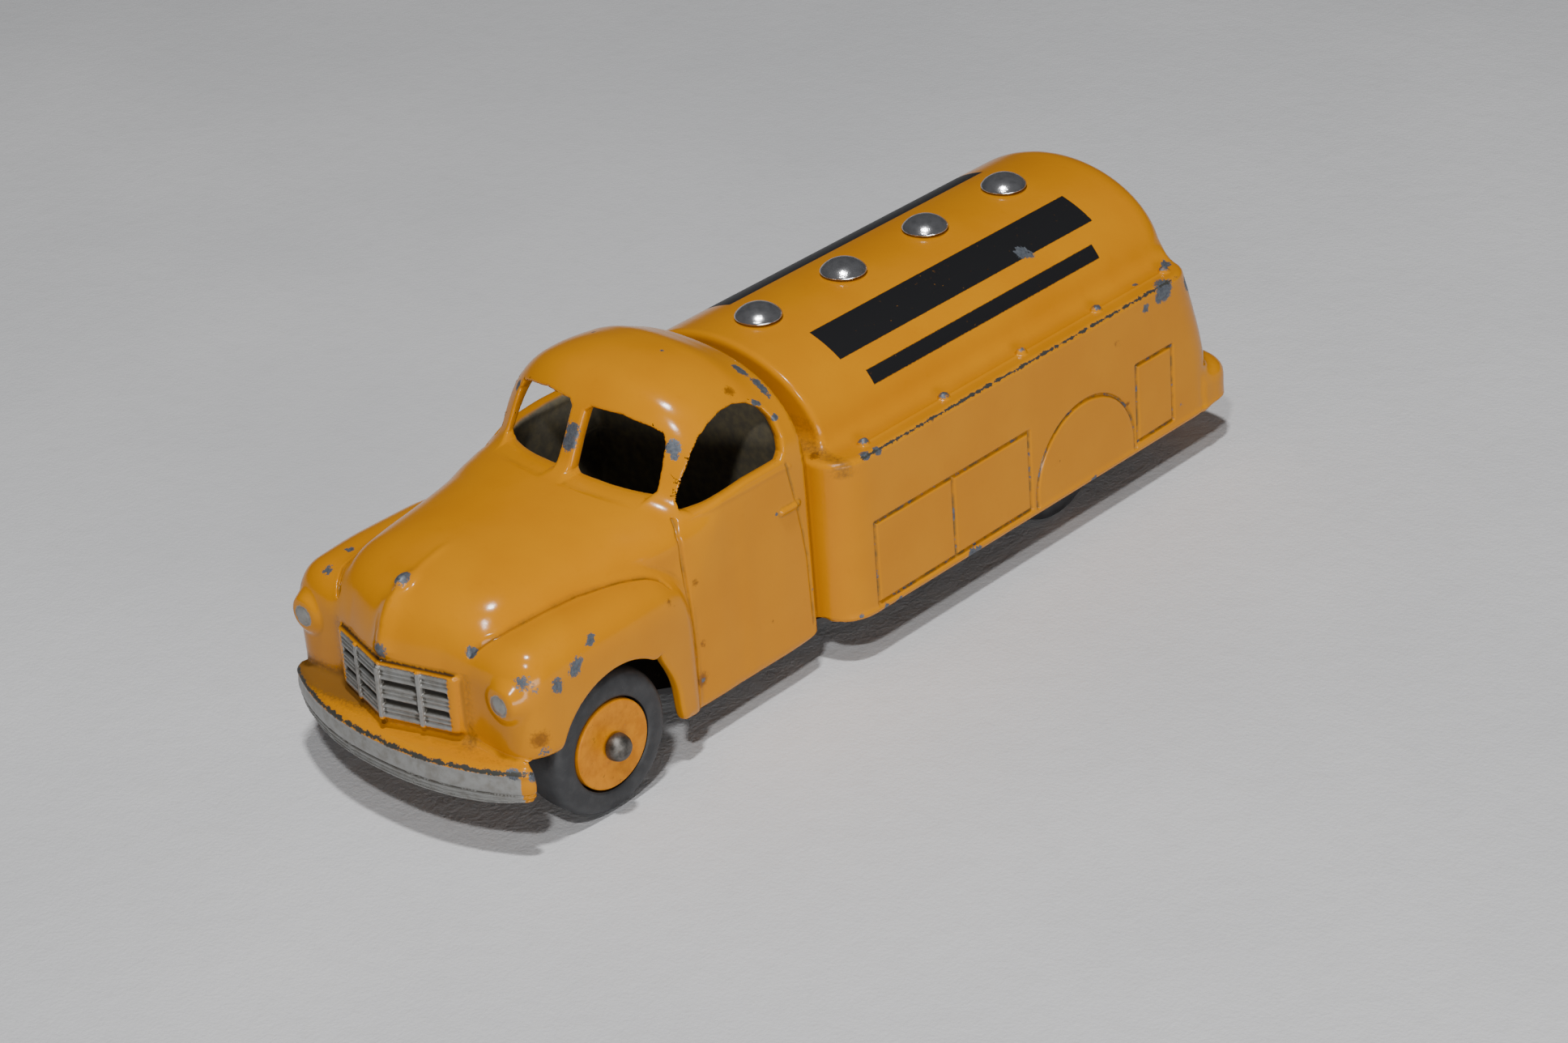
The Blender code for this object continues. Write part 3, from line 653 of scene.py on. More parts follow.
TANK_CHIPS = [
    (18.19, 45.07, 23.09, 1.25), (18.2, 44.2, 22.6, 0.7), (17.3, 49.9, 21.9, 0.9), (16.9, 50.3, 20.9, 0.7), (18.25, 41.84, 22.15, 0.55),
    (11.29, 48.67, 26.78, 0.6), (15.43, 49.03, 23.71, 0.6), (14.9, 49.2, 24.1, 0.35), (9.32, 32.09, 30.27, 0.85), (9.9, 32.7, 29.9, 0.5),
    (15.84, 43.11, 24.01, 0.35), (18.2, 0.02, 5.3, 0.45), (18.2, -2.0, 5.6, 0.35), (18.24, 11.6, 5.5, 0.6), (18.24, 12.6, 5.4, 0.6),
    (17.77, -5.49, 5.92, 0.35), (17.9, -3.2, 23.7, 0.55), (18.1, -1.6, 23.6, 0.5), (18.0, 47.6, 8.0, 0.35), (18.25, 27.36, 22.35, 0.16),
    (18.25, 38.16, 18.36, 0.2), (17.0, 55.9, 10.7, 0.5), (-18.2, 20.0, 23.4, 0.9), (-18.2, 33.0, 5.6, 0.8), (-10.0, 51.0, 27.5, 0.8),
    (0.0, 52.8, 21.0, 0.7), (-18.2, -2.0, 22.9, 0.7), (6.0, 57.9, 9.5, 0.8), (-12.0, 57.2, 8.0, 0.6), (18.2, 32.0, 5.4, 0.5),
]
TANK_RUST = [
    (18.25, 36.6, 20.0, 0.5), (18.25, 37.6, 19.8, 0.45), (18.25, 30.0, 17.0, 0.3), (16.8, 52.0, 12.5, 1.2), (14.0, -6.6, 24.0, 0.8),
    (18.25, 26.5, 10.0, 0.3), (18.25, 38.2, 12.0, 0.4),
]


def fill_mesh(name, V, T, normals, fields):
    me = bpy.data.meshes.new(name)
    P = V.copy()
    P[:, 1] -= MID_Y
    P *= MM
    me.vertices.add(len(P))
    me.vertices.foreach_set("co", P.astype(np.float32).ravel())
    me.loops.add(len(T) * 3)
    me.loops.foreach_set("vertex_index", T.astype(np.int32).ravel())
    me.polygons.add(len(T))
    me.polygons.foreach_set("loop_start", np.arange(0, len(T) * 3, 3, dtype=np.int32))
    me.update(calc_edges=True)
    me.shade_smooth()
    if normals is not None:
        me.normals_split_custom_set_from_vertices(normals.tolist())
    for key, val in fields.items():
        at = me.attributes.new(key, "FLOAT", "POINT")
        at.data.foreach_set("value", np.asarray(val, np.float32))
    me.validate()
    ob = bpy.data.objects.new(name, me)
    bpy.context.scene.collection.objects.link(ob)
    return ob


def casting(name, fn, coarse, lo, hi, h, size_fn, fields_fn, rounds=4):
    V, Q = surface_nets(coarse, lo, hi, h)
    V = project(coarse, V, 3, 0.35 * h)
    T = tris_of(V, Q)
    V = project(fn, V, 2, 0.3)
    V, T = refine(V, T, size_fn, fn, rounds, 2)
    N = gradient(fn, V, 0.03)
    N /= np.maximum(np.linalg.norm(N, axis=1), 1e-9)[:, None]
    ob = fill_mesh(name, V, T, N, fields_fn(V))
    print(name, len(V), "points", len(T), "triangles")
    return ob


def near(d, reach, fine, coarse):
    """Edge length: fine where d is under reach, growing to coarse beyond it."""
    return np.clip(fine + (d - reach) * 0.55, fine, coarse)


def cab_size(P):
    x, y, z = P.T
    ax = np.abs(x)
    out = np.full(len(P), 0.95)
    outside = coarse_cab_skin(x, y, z) > -0.75
    side = ax > 11.5
    front = (y < -51.0) & (ax < 9.6) & (z > 11.0) & (z < 18.6) & (y < grille_front(x, z) + 1.6)
    out = np.where(front, 0.235, out)
    bf = (y < bumper_front(x) + 1.2) & (z < 10.8)
    out = np.where(bf, np.minimum(out, 0.34), out)
    ld = np.sqrt((ax - LAMP[0]) ** 2 + (y - LAMP[1]) ** 2 + (z - LAMP[2]) ** 2)
    out = np.minimum(out, near(ld, 2.6, 0.27, 0.95))
    dl = np.minimum(polyline(y, z, DOOR_FRONT), polyline(y, z, DOOR_REAR))
    dl = np.where(side & outside, dl, 9.0)
    dc = np.where(outside & (z > 19.5), polyline(ax, y, CREASE), 9.0)
    out = np.minimum(out, near(np.minimum(dl, dc), 0.25, 0.18, 0.95))
    out = np.minimum(out, near(np.where(side & outside, polyline(y, z, BELT), 9.0), 0.4, 0.25, 0.95))
    hd = np.where(side, polyline(y, z, HANDLE), 9.0)
    out = np.minimum(out, near(hd, 0.6, 0.17, 0.95))
    wd = np.where(ax > 10.0, np.abs(polygon(y, z, DOOR_WIN)), 9.0)
    ws = np.where((y < -21.5), np.abs(polygon(ax, z, SCREEN)), 9.0)
    out = np.minimum(out, near(np.minimum(wd, ws), 0.7, 0.36, 0.95))
    od = np.sqrt(x * x + (y + 50.1) ** 2 + (z - 25.1) ** 2)
    out = np.minimum(out, near(od, 1.4, 0.25, 0.95))
    ar = np.where(ax > 11.8, np.abs(np.sqrt((y + 39.15) ** 2 + (z - 7.6) ** 2) - 8.35), 9.0)
    out = np.minimum(out, near(ar, 0.6, 0.35, 0.95))
    return out


def tank_size(P):
    x, y, z = P.T
    ax = np.abs(x)
    out = np.full(len(P), 1.05)
    side = ax > 18.0
    dl = np.where(side, skirt_lines(y, z), 9.0)
    out = np.minimum(out, near(dl, 0.3, 0.16, 1.05))
    ds = np.full(len(P), 9.0)
    for sy in STUDS:
        ds = np.minimum(ds, np.sqrt((ax - 16.3) ** 2 + (y - sy) ** 2 + (z - LEDGE) ** 2))
    out = np.minimum(out, near(ds, 0.9, 0.17, 1.05))
    bd = np.where(z > 23.0, np.abs(ax - 16.3), 9.0)
    out = np.minimum(out, near(bd, 0.25, 0.3, 1.05))
    ed = np.sqrt((ax - (SKW - 0.2)) ** 2 + (z - LEDGE + 0.2) ** 2)
    out = np.minimum(out, near(ed, 0.6, 0.4, 1.05))
    fr = np.where(z > 23.5, np.abs(y + 5.1), 9.0)
    out = np.minimum(out, near(fr, 0.8, 0.4, 1.05))
    out = np.minimum(out, near(np.where(side, np.abs(z - 5.6), 9.0), 0.6, 0.35, 1.05))
    return out


def cab_fields(V):
    x, y, z = V.T
    ax = np.abs(x)
    crv = np.clip(bend(cab_base, V, 0.55), -1.6, 1.25)
    out = coarse_cab_skin(x, y, z)
    inside = np.clip((-1.12 - out) / 0.25, 0.0, 1.0)
    chips = spots(V, CAB_CHIPS)
    lamp_lens = 1.0 - np.sqrt((ax - LAMP[0]) ** 2 + (z - LAMP[2]) ** 2) / 1.2
    lamp_lens = np.where(y < LAMP[1] - 1.35, lamp_lens, -1.0)
    dg = y - grille_front(x, z)
    silver = np.where((dg < 0.5) & (y < -50.5), np.minimum(np.minimum(7.75 - ax, z - 11.9), 17.75 - z), -1.0)
    db = y - bumper_front(x)
    face = np.where(z < 10.2, np.minimum(np.minimum(0.95 - db, 9.75 - z), 16.4 - ax) * 1.2, -1.0)
    silver = np.maximum(np.maximum(silver, face), lamp_lens)
    # painted shade: the recesses between the grille bars are painted near black
    slot_shade = np.where((dg < 1.2) & (y < -50.0) & (ax < 8.2) & (z > 11.7) & (z < 18.1), np.clip((dg - 0.12) / 0.35, 0, 1), 0.0)
    side = ax > 11.5
    lines = np.minimum(np.where(side, polyline(y, z, DOOR_FRONT), 9.0), np.where(side, polyline(y, z, DOOR_REAR), 9.0))
    lines = np.minimum(lines, np.where(z > 19.8, polyline(ax, y, CREASE), 9.0))
    lines = np.minimum(lines, np.where(side, np.abs(polyline(y, z, HANDLE) - 0.52) + 0.08, 9.0))
    badge = 1.0 - np.sqrt((x + 0.1) ** 2 + (y + 50.1) ** 2 + (z - 25.4) ** 2) / 1.0
    # darker bumper shelf and grille ends: partly real dirt, partly painted shade in these recesses
    dirt_and_shade = 1.05 * np.exp(-((z - 10.8) / 1.3) ** 2) * np.exp(-((y + 52.5) / 2.2) ** 2) * np.clip(0.75 - x / 20.0, 0.35, 1.2)
    dirt_and_shade = dirt_and_shade + 0.5 * np.exp(-(ax - 9.3) ** 2 / 1.2) * np.exp(-((y + 51.3) / 1.6) ** 2) * (z < 18.5)
    return {
        "chips": np.maximum(chips, badge), "bend": crv, "silver": silver, "lines": lines, "inside": inside,
        "rust": spots(V, CAB_RUST), "dirt_and_shade": dirt_and_shade, "recess_shade": slot_shade,
        "edge": np.where((np.abs(db) < 0.8) & (z > 9.0) & (z < 11.0), 0.85 - np.abs(z - 9.95) / 0.42, -1.0),
    }


def tank_fields(V):
    x, y, z = V.T
    ax = np.abs(x)
    crv = np.clip(bend(tank_base, V, 0.55), -1.6, 1.6)
    inside = np.clip((-0.75 - tank_outer(x, y, z)) / 0.35, 0.0, 1.0)
    inside = np.where(y > 54.0, 0.0, inside)
    chips = spots(V, TANK_CHIPS)
    ds = np.full(len(V), 9.0)
    for sy in STUDS:
        ds = np.minimum(ds, np.sqrt((ax - 16.3) ** 2 + (y - sy) ** 2 + (z - LEDGE - 0.45) ** 2))
    first = np.where(np.abs(y - STUDS[2]) < 3.0, 0.0, 0.24)
    chips = np.maximum(chips, np.where(z > LEDGE + 0.2, 0.45 + first - ds, -1.0))
    lines = np.where(ax > 17.6, skirt_lines(y, z), 9.0)
    lines = np.minimum(lines, np.where((z > 23.0) & (y > STUDS[0]) & (y < STUDS[-1]), np.abs(ax - 16.3) + 0.22, 9.0))
    # painted shade in the gap behind the cab and in the recess above the rear roll
    dirt_and_shade = 0.7 * np.exp(-((y + 6.0) / 1.2) ** 2) * (z > 22.0) * (z < 27.0)
    dirt_and_shade = dirt_and_shade + 0.5 * np.exp(-((y - 54.6) / 1.5) ** 2) * np.exp(-((z - 11.5) / 1.5) ** 2)
    edge = np.where(ax > 16.0, 0.9 - np.sqrt((ax - (SKW - 0.12)) ** 2 + (z - LEDGE + 0.12) ** 2) / 0.4, -1.0)
    edge = np.where((y > -4.0) & (y < 49.0), edge, -1.0)
    return {
        "chips": chips, "bend": crv, "silver": np.full(len(V), -1.0), "lines": lines, "inside": inside,
        "rust": spots(V, TANK_RUST), "dirt_and_shade": dirt_and_shade, "recess_shade": np.zeros(len(V)), "edge": edge,
    }


# ------------------------------------------------------------------ turned pieces
def lathe(name, prof, centre, axis, steps, sharp=None):
    """Closed turned piece.  prof is a list of (along, radius)."""
    V, T = [], []
    rings = []
    for t, r in prof:
        if r < 1e-6:
            rings.append([len(V)])
            V.append((t, 0.0, 0.0))
        else:
            rings.append(list(range(len(V), len(V) + steps)))
            for k in range(steps):
                a = 2 * math.pi * k / steps
                V.append((t, r * math.cos(a), r * math.sin(a)))
    loop = list(zip(rings, rings[1:]))
    if len(rings[0]) > 1:
        loop.append((rings[-1], rings[0]))
    for A, B in loop:
        for k in range(steps):
            k2 = (k + 1) % steps
            if len(A) == 1 and len(B) == 1:
                continue
            if len(A) == 1:
                T.append((A[0], B[k2], B[k]))
            elif len(B) == 1:
                T.append((A[k], A[k2], B[0]))
            else:
                T.append((A[k], A[k2], B[k2]))
                T.append((A[k], B[k2], B[k]))
    V = np.array(V, float)
    T = np.array(T, int)
    if axis == "Z":
        V = V[:, [1, 2, 0]]
    C = V[T]
    vol = np.einsum("ij,ij->i", C[:, 0], np.cross(C[:, 1], C[:, 2])).sum()
    if vol < 0:
        T = T[:, ::-1]
    V = V + np.array(centre)
    ob = fill_mesh(name, V, T, None, {})
    ob.data.set_sharp_from_angle(angle=math.radians(sharp or 42.0))
    return ob


def smooth_profile(pts, n=6):
    """Rounds a profile by a Catmull-Rom curve through its points."""
    P = np.array(pts, float)
    out = [tuple(P[0])]
    for i in range(len(P) - 1):
        p0, p1, p2, p3 = P[max(i - 1, 0)], P[i], P[i + 1], P[min(i + 2, len(P) - 1)]
        for k in range(1, n + 1):
            t = k / n
            q = 0.5 * ((2 * p1) + (-p0 + p2) * t + (2 * p0 - 5 * p1 + 4 * p2 - p3) * t * t + (-p0 + 3 * p1 - 3 * p2 + p3) * t ** 3)
            out.append((float(q[0]), max(float(q[1]), 0.0)))
    return out


# ------------------------------------------------------------------ node helpers
class Nodes:
    def __init__(self, name):
        self.mat = bpy.data.materials.new(name)
        self.mat.use_nodes = True
        self.t = self.mat.node_tree
        for n in list(self.t.nodes):
            self.t.nodes.remove(n)
        self.out = self.t.nodes.new("ShaderNodeOutputMaterial")
        self.bsdf = self.t.nodes.new("ShaderNodeBsdfPrincipled")
        self.t.links.new(self.bsdf.outputs[0], self.out.inputs[0])
        tc = self.t.nodes.new("ShaderNodeTexCoord")
        sc = self.t.nodes.new("ShaderNodeVectorMath")
        sc.operation = "SCALE"
        sc.inputs["Scale"].default_value = 1000.0
        self.t.links.new(tc.outputs["Object"], sc.inputs[0])
        self.pos = sc.outputs[0]

    def put(self, sock, v):
        if isinstance(v, bpy.types.NodeSocket):
            self.t.links.new(v, sock)
        elif isinstance(v, (tuple, list)) and len(v) == 3 and sock.type == "RGBA":
            sock.default_value = (*v, 1.0)
        else:
            sock.default_value = v

    def m(self, op, a, b=0.0, c=None, clamp=False):
        n = self.t.nodes.new("ShaderNodeMath")
        n.operation = op
        n.use_clamp = clamp
        self.put(n.inputs[0], a)
        self.put(n.inputs[1], b)
        if c is not None:
            self.put(n.inputs[2], c)
        return n.outputs[0]

    def ramp(self, v, lo, hi, smooth=True):
        n = self.t.nodes.new("ShaderNodeMapRange")
        n.interpolation_type = "SMOOTHSTEP" if smooth else "LINEAR"
        self.put(n.inputs["Value"], v)
        n.inputs["From Min"].default_value = lo
        n.inputs["From Max"].default_value = hi
        return n.outputs[0]

    def noise(self, scale, detail=3.0, rough=0.55, pos=None, dist=0.0):
        n = self.t.nodes.new("ShaderNodeTexNoise")
        n.inputs["Scale"].default_value = scale
        n.inputs["Detail"].default_value = detail
        n.inputs["Roughness"].default_value = rough
        n.inputs["Distortion"].default_value = dist
        self.t.links.new(pos or self.pos, n.inputs["Vector"])
        return n.outputs["Fac"]

    def voronoi(self, scale, pos=None):
        n = self.t.nodes.new("ShaderNodeTexVoronoi")
        n.inputs["Scale"].default_value = scale
        self.t.links.new(pos or self.pos, n.inputs["Vector"])
        return n.outputs["Distance"]

    def stretch(self, sx, sy, sz):
        n = self.t.nodes.new("ShaderNodeVectorMath")
        n.operation = "MULTIPLY"
        self.t.links.new(self.pos, n.inputs[0])
        n.inputs[1].default_value = (sx, sy, sz)
        return n.outputs[0]

    def attr(self, name):
        n = self.t.nodes.new("ShaderNodeAttribute")
        n.attribute_name = name
        return n.outputs["Fac"]

    def xyz(self):
        n = self.t.nodes.new("ShaderNodeSeparateXYZ")
        self.t.links.new(self.pos, n.inputs[0])
        return n.outputs

    def mix(self, f, a, b):
        n = self.t.nodes.new("ShaderNodeMix")
        n.data_type = "RGBA"
        self.put(n.inputs[0], f)
        self.put(n.inputs[6], a)
        self.put(n.inputs[7], b)
        return n.outputs[2]

    def mixf(self, f, a, b):
        n = self.t.nodes.new("ShaderNodeMix")
        n.data_type = "FLOAT"
        self.put(n.inputs[0], f)
        self.put(n.inputs[2], a)
        self.put(n.inputs[3], b)
        return n.outputs[0]

    def bump(self, height, strength, dist):
        n = self.t.nodes.new("ShaderNodeBump")
        n.inputs["Strength"].default_value = strength
        n.inputs["Distance"].default_value = dist
        self.t.links.new(height, n.inputs["Height"])
        self.t.links.new(n.outputs[0], self.bsdf.inputs["Normal"])

    def set(self, **kw):
        for k, v in kw.items():
            self.put(self.bsdf.inputs[k.replace("_", " ")], v)
        return self.mat


YELLOW = (0.52, 0.192, 0.0008)
ZINC = (0.075, 0.085, 0.103)
SILVER = (0.30, 0.30, 0.288)


def enamel(name, stripes):
    """Yellow enamel on zinc: chipped along outward edges and in single places, darkened with painted shade in corners,
    gaps, recesses, grille slots and inside the body, partly dirty, silver on the bright parts."""
    n = Nodes(name)
    chips, bendv, silver, lines = n.attr("chips"), n.attr("bend"), n.attr("silver"), n.attr("lines")
    inside, rust, dirt_and_shade, recess_shade, edge = n.attr("inside"), n.attr("rust"), n.attr("dirt_and_shade"), n.attr("recess_shade"), n.attr("edge")
    big = n.noise(0.12, 2.0)
    mid = n.noise(0.9, 4.0, 0.6)
    fine = n.noise(3.2, 4.0, 0.65)
    grit = n.noise(9.0, 3.0, 0.7)
    # colour of the enamel, a little uneven
    col = n.mix(n.ramp(big, 0.3, 0.7), YELLOW, (0.55, 0.210, 0.001))
    col = n.mix(n.m("MULTIPLY", n.ramp(mid, 0.55, 0.9), 0.22), col, (0.40, 0.130, 0.0005))
    # painted shade: darker in concave corners, and darker in the marked gaps and recesses (partly real dirt on the
    # bumper shelf)
    corner_shade = n.ramp(n.m("ADD", n.m("MULTIPLY", bendv, -1.0), n.m("MULTIPLY", n.m("SUBTRACT", fine, 0.5), 0.5)), 0.35, 1.5)
    shade_and_dirt = n.m("MAXIMUM", n.m("MULTIPLY", corner_shade, 0.5),
                n.m("MULTIPLY", n.ramp(n.m("ADD", dirt_and_shade, n.m("MULTIPLY", n.m("SUBTRACT", fine, 0.5), 1.1)), 0.25, 1.0), 0.8), clamp=True)
    col = n.mix(shade_and_dirt, col, (0.115, 0.06, 0.016))
    specks = n.ramp(grit, 0.735, 0.80)
    col = n.mix(n.m("MULTIPLY", specks, 0.4), col, (0.22, 0.10, 0.015))
    rs = n.ramp(n.m("ADD", rust, n.m("MULTIPLY", n.m("SUBTRACT", fine, 0.5), 1.3)), 0.05, 0.7)
    col = n.mix(n.m("MULTIPLY", rs, 0.75), col, (0.13, 0.045, 0.008))
    rough = n.mixf(shade_and_dirt, n.mixf(mid, 0.12, 0.20), 0.60)
    if stripes:
        X, Y, Z = n.xyz()
        axx = n.m("ABSOLUTE", X)
        ypos = n.m("ADD", Y, MID_Y)
        wob = n.m("MULTIPLY", n.m("SUBTRACT", fine, 0.5), 0.10)
        band = None
        for x0, x1, y0, y1 in ((5.7, 9.9, 2.4, 43.3), (11.65, 12.75, 4.2, 40.9)):
            u = n.m("MINIMUM", n.m("SUBTRACT", axx, x0), n.m("SUBTRACT", x1, axx))
            v = n.m("MINIMUM", n.m("SUBTRACT", ypos, y0), n.m("SUBTRACT", y1, ypos))
            b = n.m("MINIMUM", u, v)
            band = b if band is None else n.m("MAXIMUM", band, b)
        band = n.m("MINIMUM", band, n.m("SUBTRACT", Z, 24.6))
        on = n.ramp(n.m("ADD", band, wob), -0.03, 0.05)
        worn = n.ramp(n.noise(1.7, 5.0, 0.7), 0.66, 0.74)
        on = n.m("MULTIPLY", on, n.m("SUBTRACT", 1.0, n.m("MULTIPLY", worn, 0.85)))
        col = n.mix(on, col, (0.012, 0.012, 0.013))
        rough = n.mixf(on, rough, 0.38)
    # silver paint
    si = n.ramp(n.m("ADD", silver, n.m("MULTIPLY", n.m("SUBTRACT", fine, 0.5), 0.45)), -0.02, 0.10)
    scol = n.mix(n.ramp(mid, 0.35, 0.75), SILVER, (0.22, 0.21, 0.19))
    # painted shade: the silver goes darker in concave corners
    scol = n.mix(n.m("MULTIPLY", n.ramp(n.m("MULTIPLY", bendv, -1.0), 0.1, 1.2), 0.75), scol, (0.05, 0.04, 0.025))
    col = n.mix(si, col, scol)
    # painted shade: grille recesses near black
    col = n.mix(n.m("MULTIPLY", recess_shade, 0.9), col, (0.012, 0.010, 0.008))
    rough = n.mixf(si, rough, 0.40)
    # engraved lines catch dirt and lose their paint in places
    ln = n.ramp(lines, 0.30, 0.05)
    brk = n.ramp(n.noise(0.55, 3.0, 0.7), 0.42, 0.62)
    lo, hi = (0.30, 0.85) if stripes else (0.22, 0.55)
    col = n.mix(n.m("MULTIPLY", ln, n.mixf(brk, lo, hi)), col, (0.09, 0.075, 0.03))
    # chips down to the zinc
    jag = n.m("ADD", n.m("MULTIPLY", n.m("SUBTRACT", fine, 0.5), 1.5), n.m("MULTIPLY", n.m("SUBTRACT", grit, 0.5), 0.6))
    c1 = n.ramp(n.m("ADD", chips, jag), 0.05, 0.11)
    wear = n.noise(0.32, 4.0, 0.7)
    c2 = n.m("ADD", n.m("MULTIPLY", bendv, 0.30), n.m("ADD", n.m("MULTIPLY", n.m("SUBTRACT", wear, 0.5), 3.4), n.m("MULTIPLY", n.m("SUBTRACT", fine, 0.5), 1.1)))
    c2 = n.ramp(c2, 1.42, 1.52)
    c3 = n.ramp(n.m("ADD", edge, n.m("ADD", n.m("MULTIPLY", n.m("SUBTRACT", n.noise(1.1, 5.0, 0.8), 0.5), 2.7), -0.10)), 0.30, 0.38)
    c4 = n.m("MULTIPLY", n.ramp(lines, 0.20, 0.12), n.ramp(n.noise(0.9, 3.0, 0.7), *((0.56, 0.62) if stripes else (0.70, 0.74))))
    chip = n.m("MAXIMUM", n.m("MAXIMUM", c1, c2), n.m("MAXIMUM", c3, c4))
    zinc = n.mix(n.ramp(fine, 0.3, 0.7), ZINC, (0.135, 0.150, 0.172))
    zinc = n.mix(c3, zinc, (0.062, 0.062, 0.054))
    col = n.mix(chip, col, zinc)
    rough = n.mixf(chip, rough, 0.48)
    # inside of the casting: painted shade, a dark colour for the shadow inside the body
    col = n.mix(inside, col, n.mix(n.ramp(mid, 0.3, 0.75), (0.115, 0.105, 0.080), (0.19, 0.16, 0.095)))
    rough = n.mixf(inside, rough, 0.75)
    metal = n.m("MULTIPLY", n.m("MAXIMUM", n.m("MULTIPLY", chip, 0.40), n.m("MULTIPLY", si, 0.50)), n.m("SUBTRACT", 1.0, inside), clamp=True)
    h = n.m("ADD", n.m("MULTIPLY", chip, -0.9), n.m("ADD", n.m("MULTIPLY", n.noise(1.3, 2.0, 0.5), 0.35), n.m("MULTIPLY", fine, 0.10)))
    n.bump(h, 0.35, 0.00006)
    n.set(Base_Color=col, Roughness=rough, Metallic=metal)
    n.bsdf.inputs["IOR"].default_value = 1.45
    n.bsdf.inputs["Specular IOR Level"].default_value = 0.27
    return n.mat


def hub_paint():
    n = Nodes("hub_enamel")
    mid, fine = n.noise(0.8, 4.0, 0.6), n.noise(4.0, 4.0, 0.65)
    col = n.mix(n.ramp(mid, 0.3, 0.75), (0.60, 0.215, 0.0008), (0.47, 0.150, 0.0006))
    col = n.mix(n.m("MULTIPLY", n.ramp(n.noise(1.3, 5.0, 0.7), 0.58, 0.72), 0.75), col, (0.16, 0.065, 0.01))
    chip = n.ramp(n.m("ADD", n.noise(0.7, 4.0, 0.7), n.m("MULTIPLY", fine, 0.2)), 0.83, 0.86)
    col = n.mix(chip, col, (0.12, 0.13, 0.14))
    n.bump(n.m("ADD", n.m("MULTIPLY", fine, 0.4), n.m("MULTIPLY", chip, -0.8)), 0.3, 0.00006)
    n.set(Base_Color=col, Roughness=n.mixf(mid, 0.28, 0.5), Metallic=n.m("MULTIPLY", chip, 0.7))
    n.bsdf.inputs["Specular IOR Level"].default_value = 0.22
    return n.mat


def rubber():
    n = Nodes("tyre_rubber")
    mid, fine = n.noise(0.7, 4.0, 0.6), n.noise(5.0, 4.0, 0.7)
    col = n.mix(n.ramp(mid, 0.35, 0.75), (0.017, 0.018, 0.020), (0.034, 0.035, 0.037))
    col = n.mix(n.m("MULTIPLY", n.ramp(n.noise(2.2, 4.0, 0.7), 0.60, 0.78), 0.30), col, (0.13, 0.12, 0.105))
    n.bump(fine, 0.25, 0.00008)
    n.set(Base_Color=col, Roughness=n.mixf(mid, 0.42, 0.62))
    return n.mat


def steel(name, dark, light, r0, r1, metallic):
    n = Nodes(name)
    mid, fine = n.noise(1.1, 4.0, 0.65), n.noise(6.0, 4.0, 0.7)
    col = n.mix(n.ramp(mid, 0.3, 0.75), dark, light)
    col = n.mix(n.m("MULTIPLY", n.ramp(n.noise(2.0, 5.0, 0.7), 0.55, 0.75), 0.6), col, (0.10, 0.055, 0.03))
    n.bump(fine, 0.35, 0.00006)
    n.set(Base_Color=col, Roughness=n.mixf(mid, r0, r1))
    n.bsdf.inputs["Metallic"].default_value = metallic
    return n.mat


def bright():
    n = Nodes("cap_bright")
    mid, fine = n.noise(1.2, 4.0, 0.6), n.noise(5.0, 4.0, 0.7)
    col = n.mix(n.ramp(mid, 0.35, 0.8), (0.80, 0.80, 0.82), (0.52, 0.52, 0.54))
    col = n.mix(n.m("MULTIPLY", n.ramp(n.noise(3.0, 4.0, 0.7), 0.62, 0.75), 0.6), col, (0.20, 0.19, 0.18))
    n.bump(n.m("ADD", fine, n.m("MULTIPLY", n.noise(1.6, 2.0), 0.7)), 0.3, 0.00005)
    n.set(Base_Color=col, Roughness=n.mixf(mid, 0.10, 0.22))
    n.bsdf.inputs["Metallic"].default_value = 0.95
    return n.mat


def black_plate():
    n = Nodes("base_black")
    mid, fine = n.noise(0.5, 4.0, 0.6), n.noise(5.0, 4.0, 0.7)
    col = n.mix(n.ramp(mid, 0.3, 0.75), (0.018, 0.018, 0.019), (0.040, 0.038, 0.036))
    chip = n.ramp(n.noise(0.9, 5.0, 0.7), 0.66, 0.69)
    col = n.mix(chip, col, (0.22, 0.21, 0.20))
    n.bump(n.m("ADD", fine, n.m("MULTIPLY", chip, -1.0)), 0.3, 0.00006)
    n.set(Base_Color=col, Roughness=n.mixf(mid, 0.35, 0.6), Metallic=n.m("MULTIPLY", chip, 0.8))
    return n.mat


def paper():
    n = Nodes("floor_paper")
    a, b, c = n.noise(0.012, 3.0, 0.6), n.noise(0.35, 4.0, 0.6), n.noise(2.2, 3.0, 0.6)
    col = n.mix(n.ramp(a, 0.3, 0.7), (0.585, 0.588, 0.60), (0.65, 0.65, 0.66))
    col = n.mix(n.m("MULTIPLY", n.ramp(b, 0.45, 0.8), 0.18), col, (0.50, 0.495, 0.49))
    stain = n.ramp(n.noise(0.045, 5.0, 0.7), 0.70, 0.78)
    col = n.mix(n.m("MULTIPLY", stain, 0.10), col, (0.48, 0.43, 0.38))
    n.bump(n.m("ADD", n.m("MULTIPLY", b, 1.0), n.m("MULTIPLY", c, 0.6)), 0.35, 0.0004)
    n.set(Base_Color=col)
    n.bsdf.inputs["Roughness"].default_value = 0.85
    return n.mat


# ------------------------------------------------------------------ build
M_CAB = enamel("cab_enamel", False)
M_TANK = enamel("tank_enamel", True)
M_HUB, M_RUB, M_CAP = hub_paint(), rubber(), bright()
M_AXLE = steel("axle_steel", (0.075, 0.070, 0.062), (0.19, 0.18, 0.165), 0.35, 0.6, 0.85)
M_RIVET = steel("rivet_steel", (0.20, 0.19, 0.18), (0.36, 0.35, 0.33), 0.35, 0.55, 0.9)
M_PLATE = black_plate()


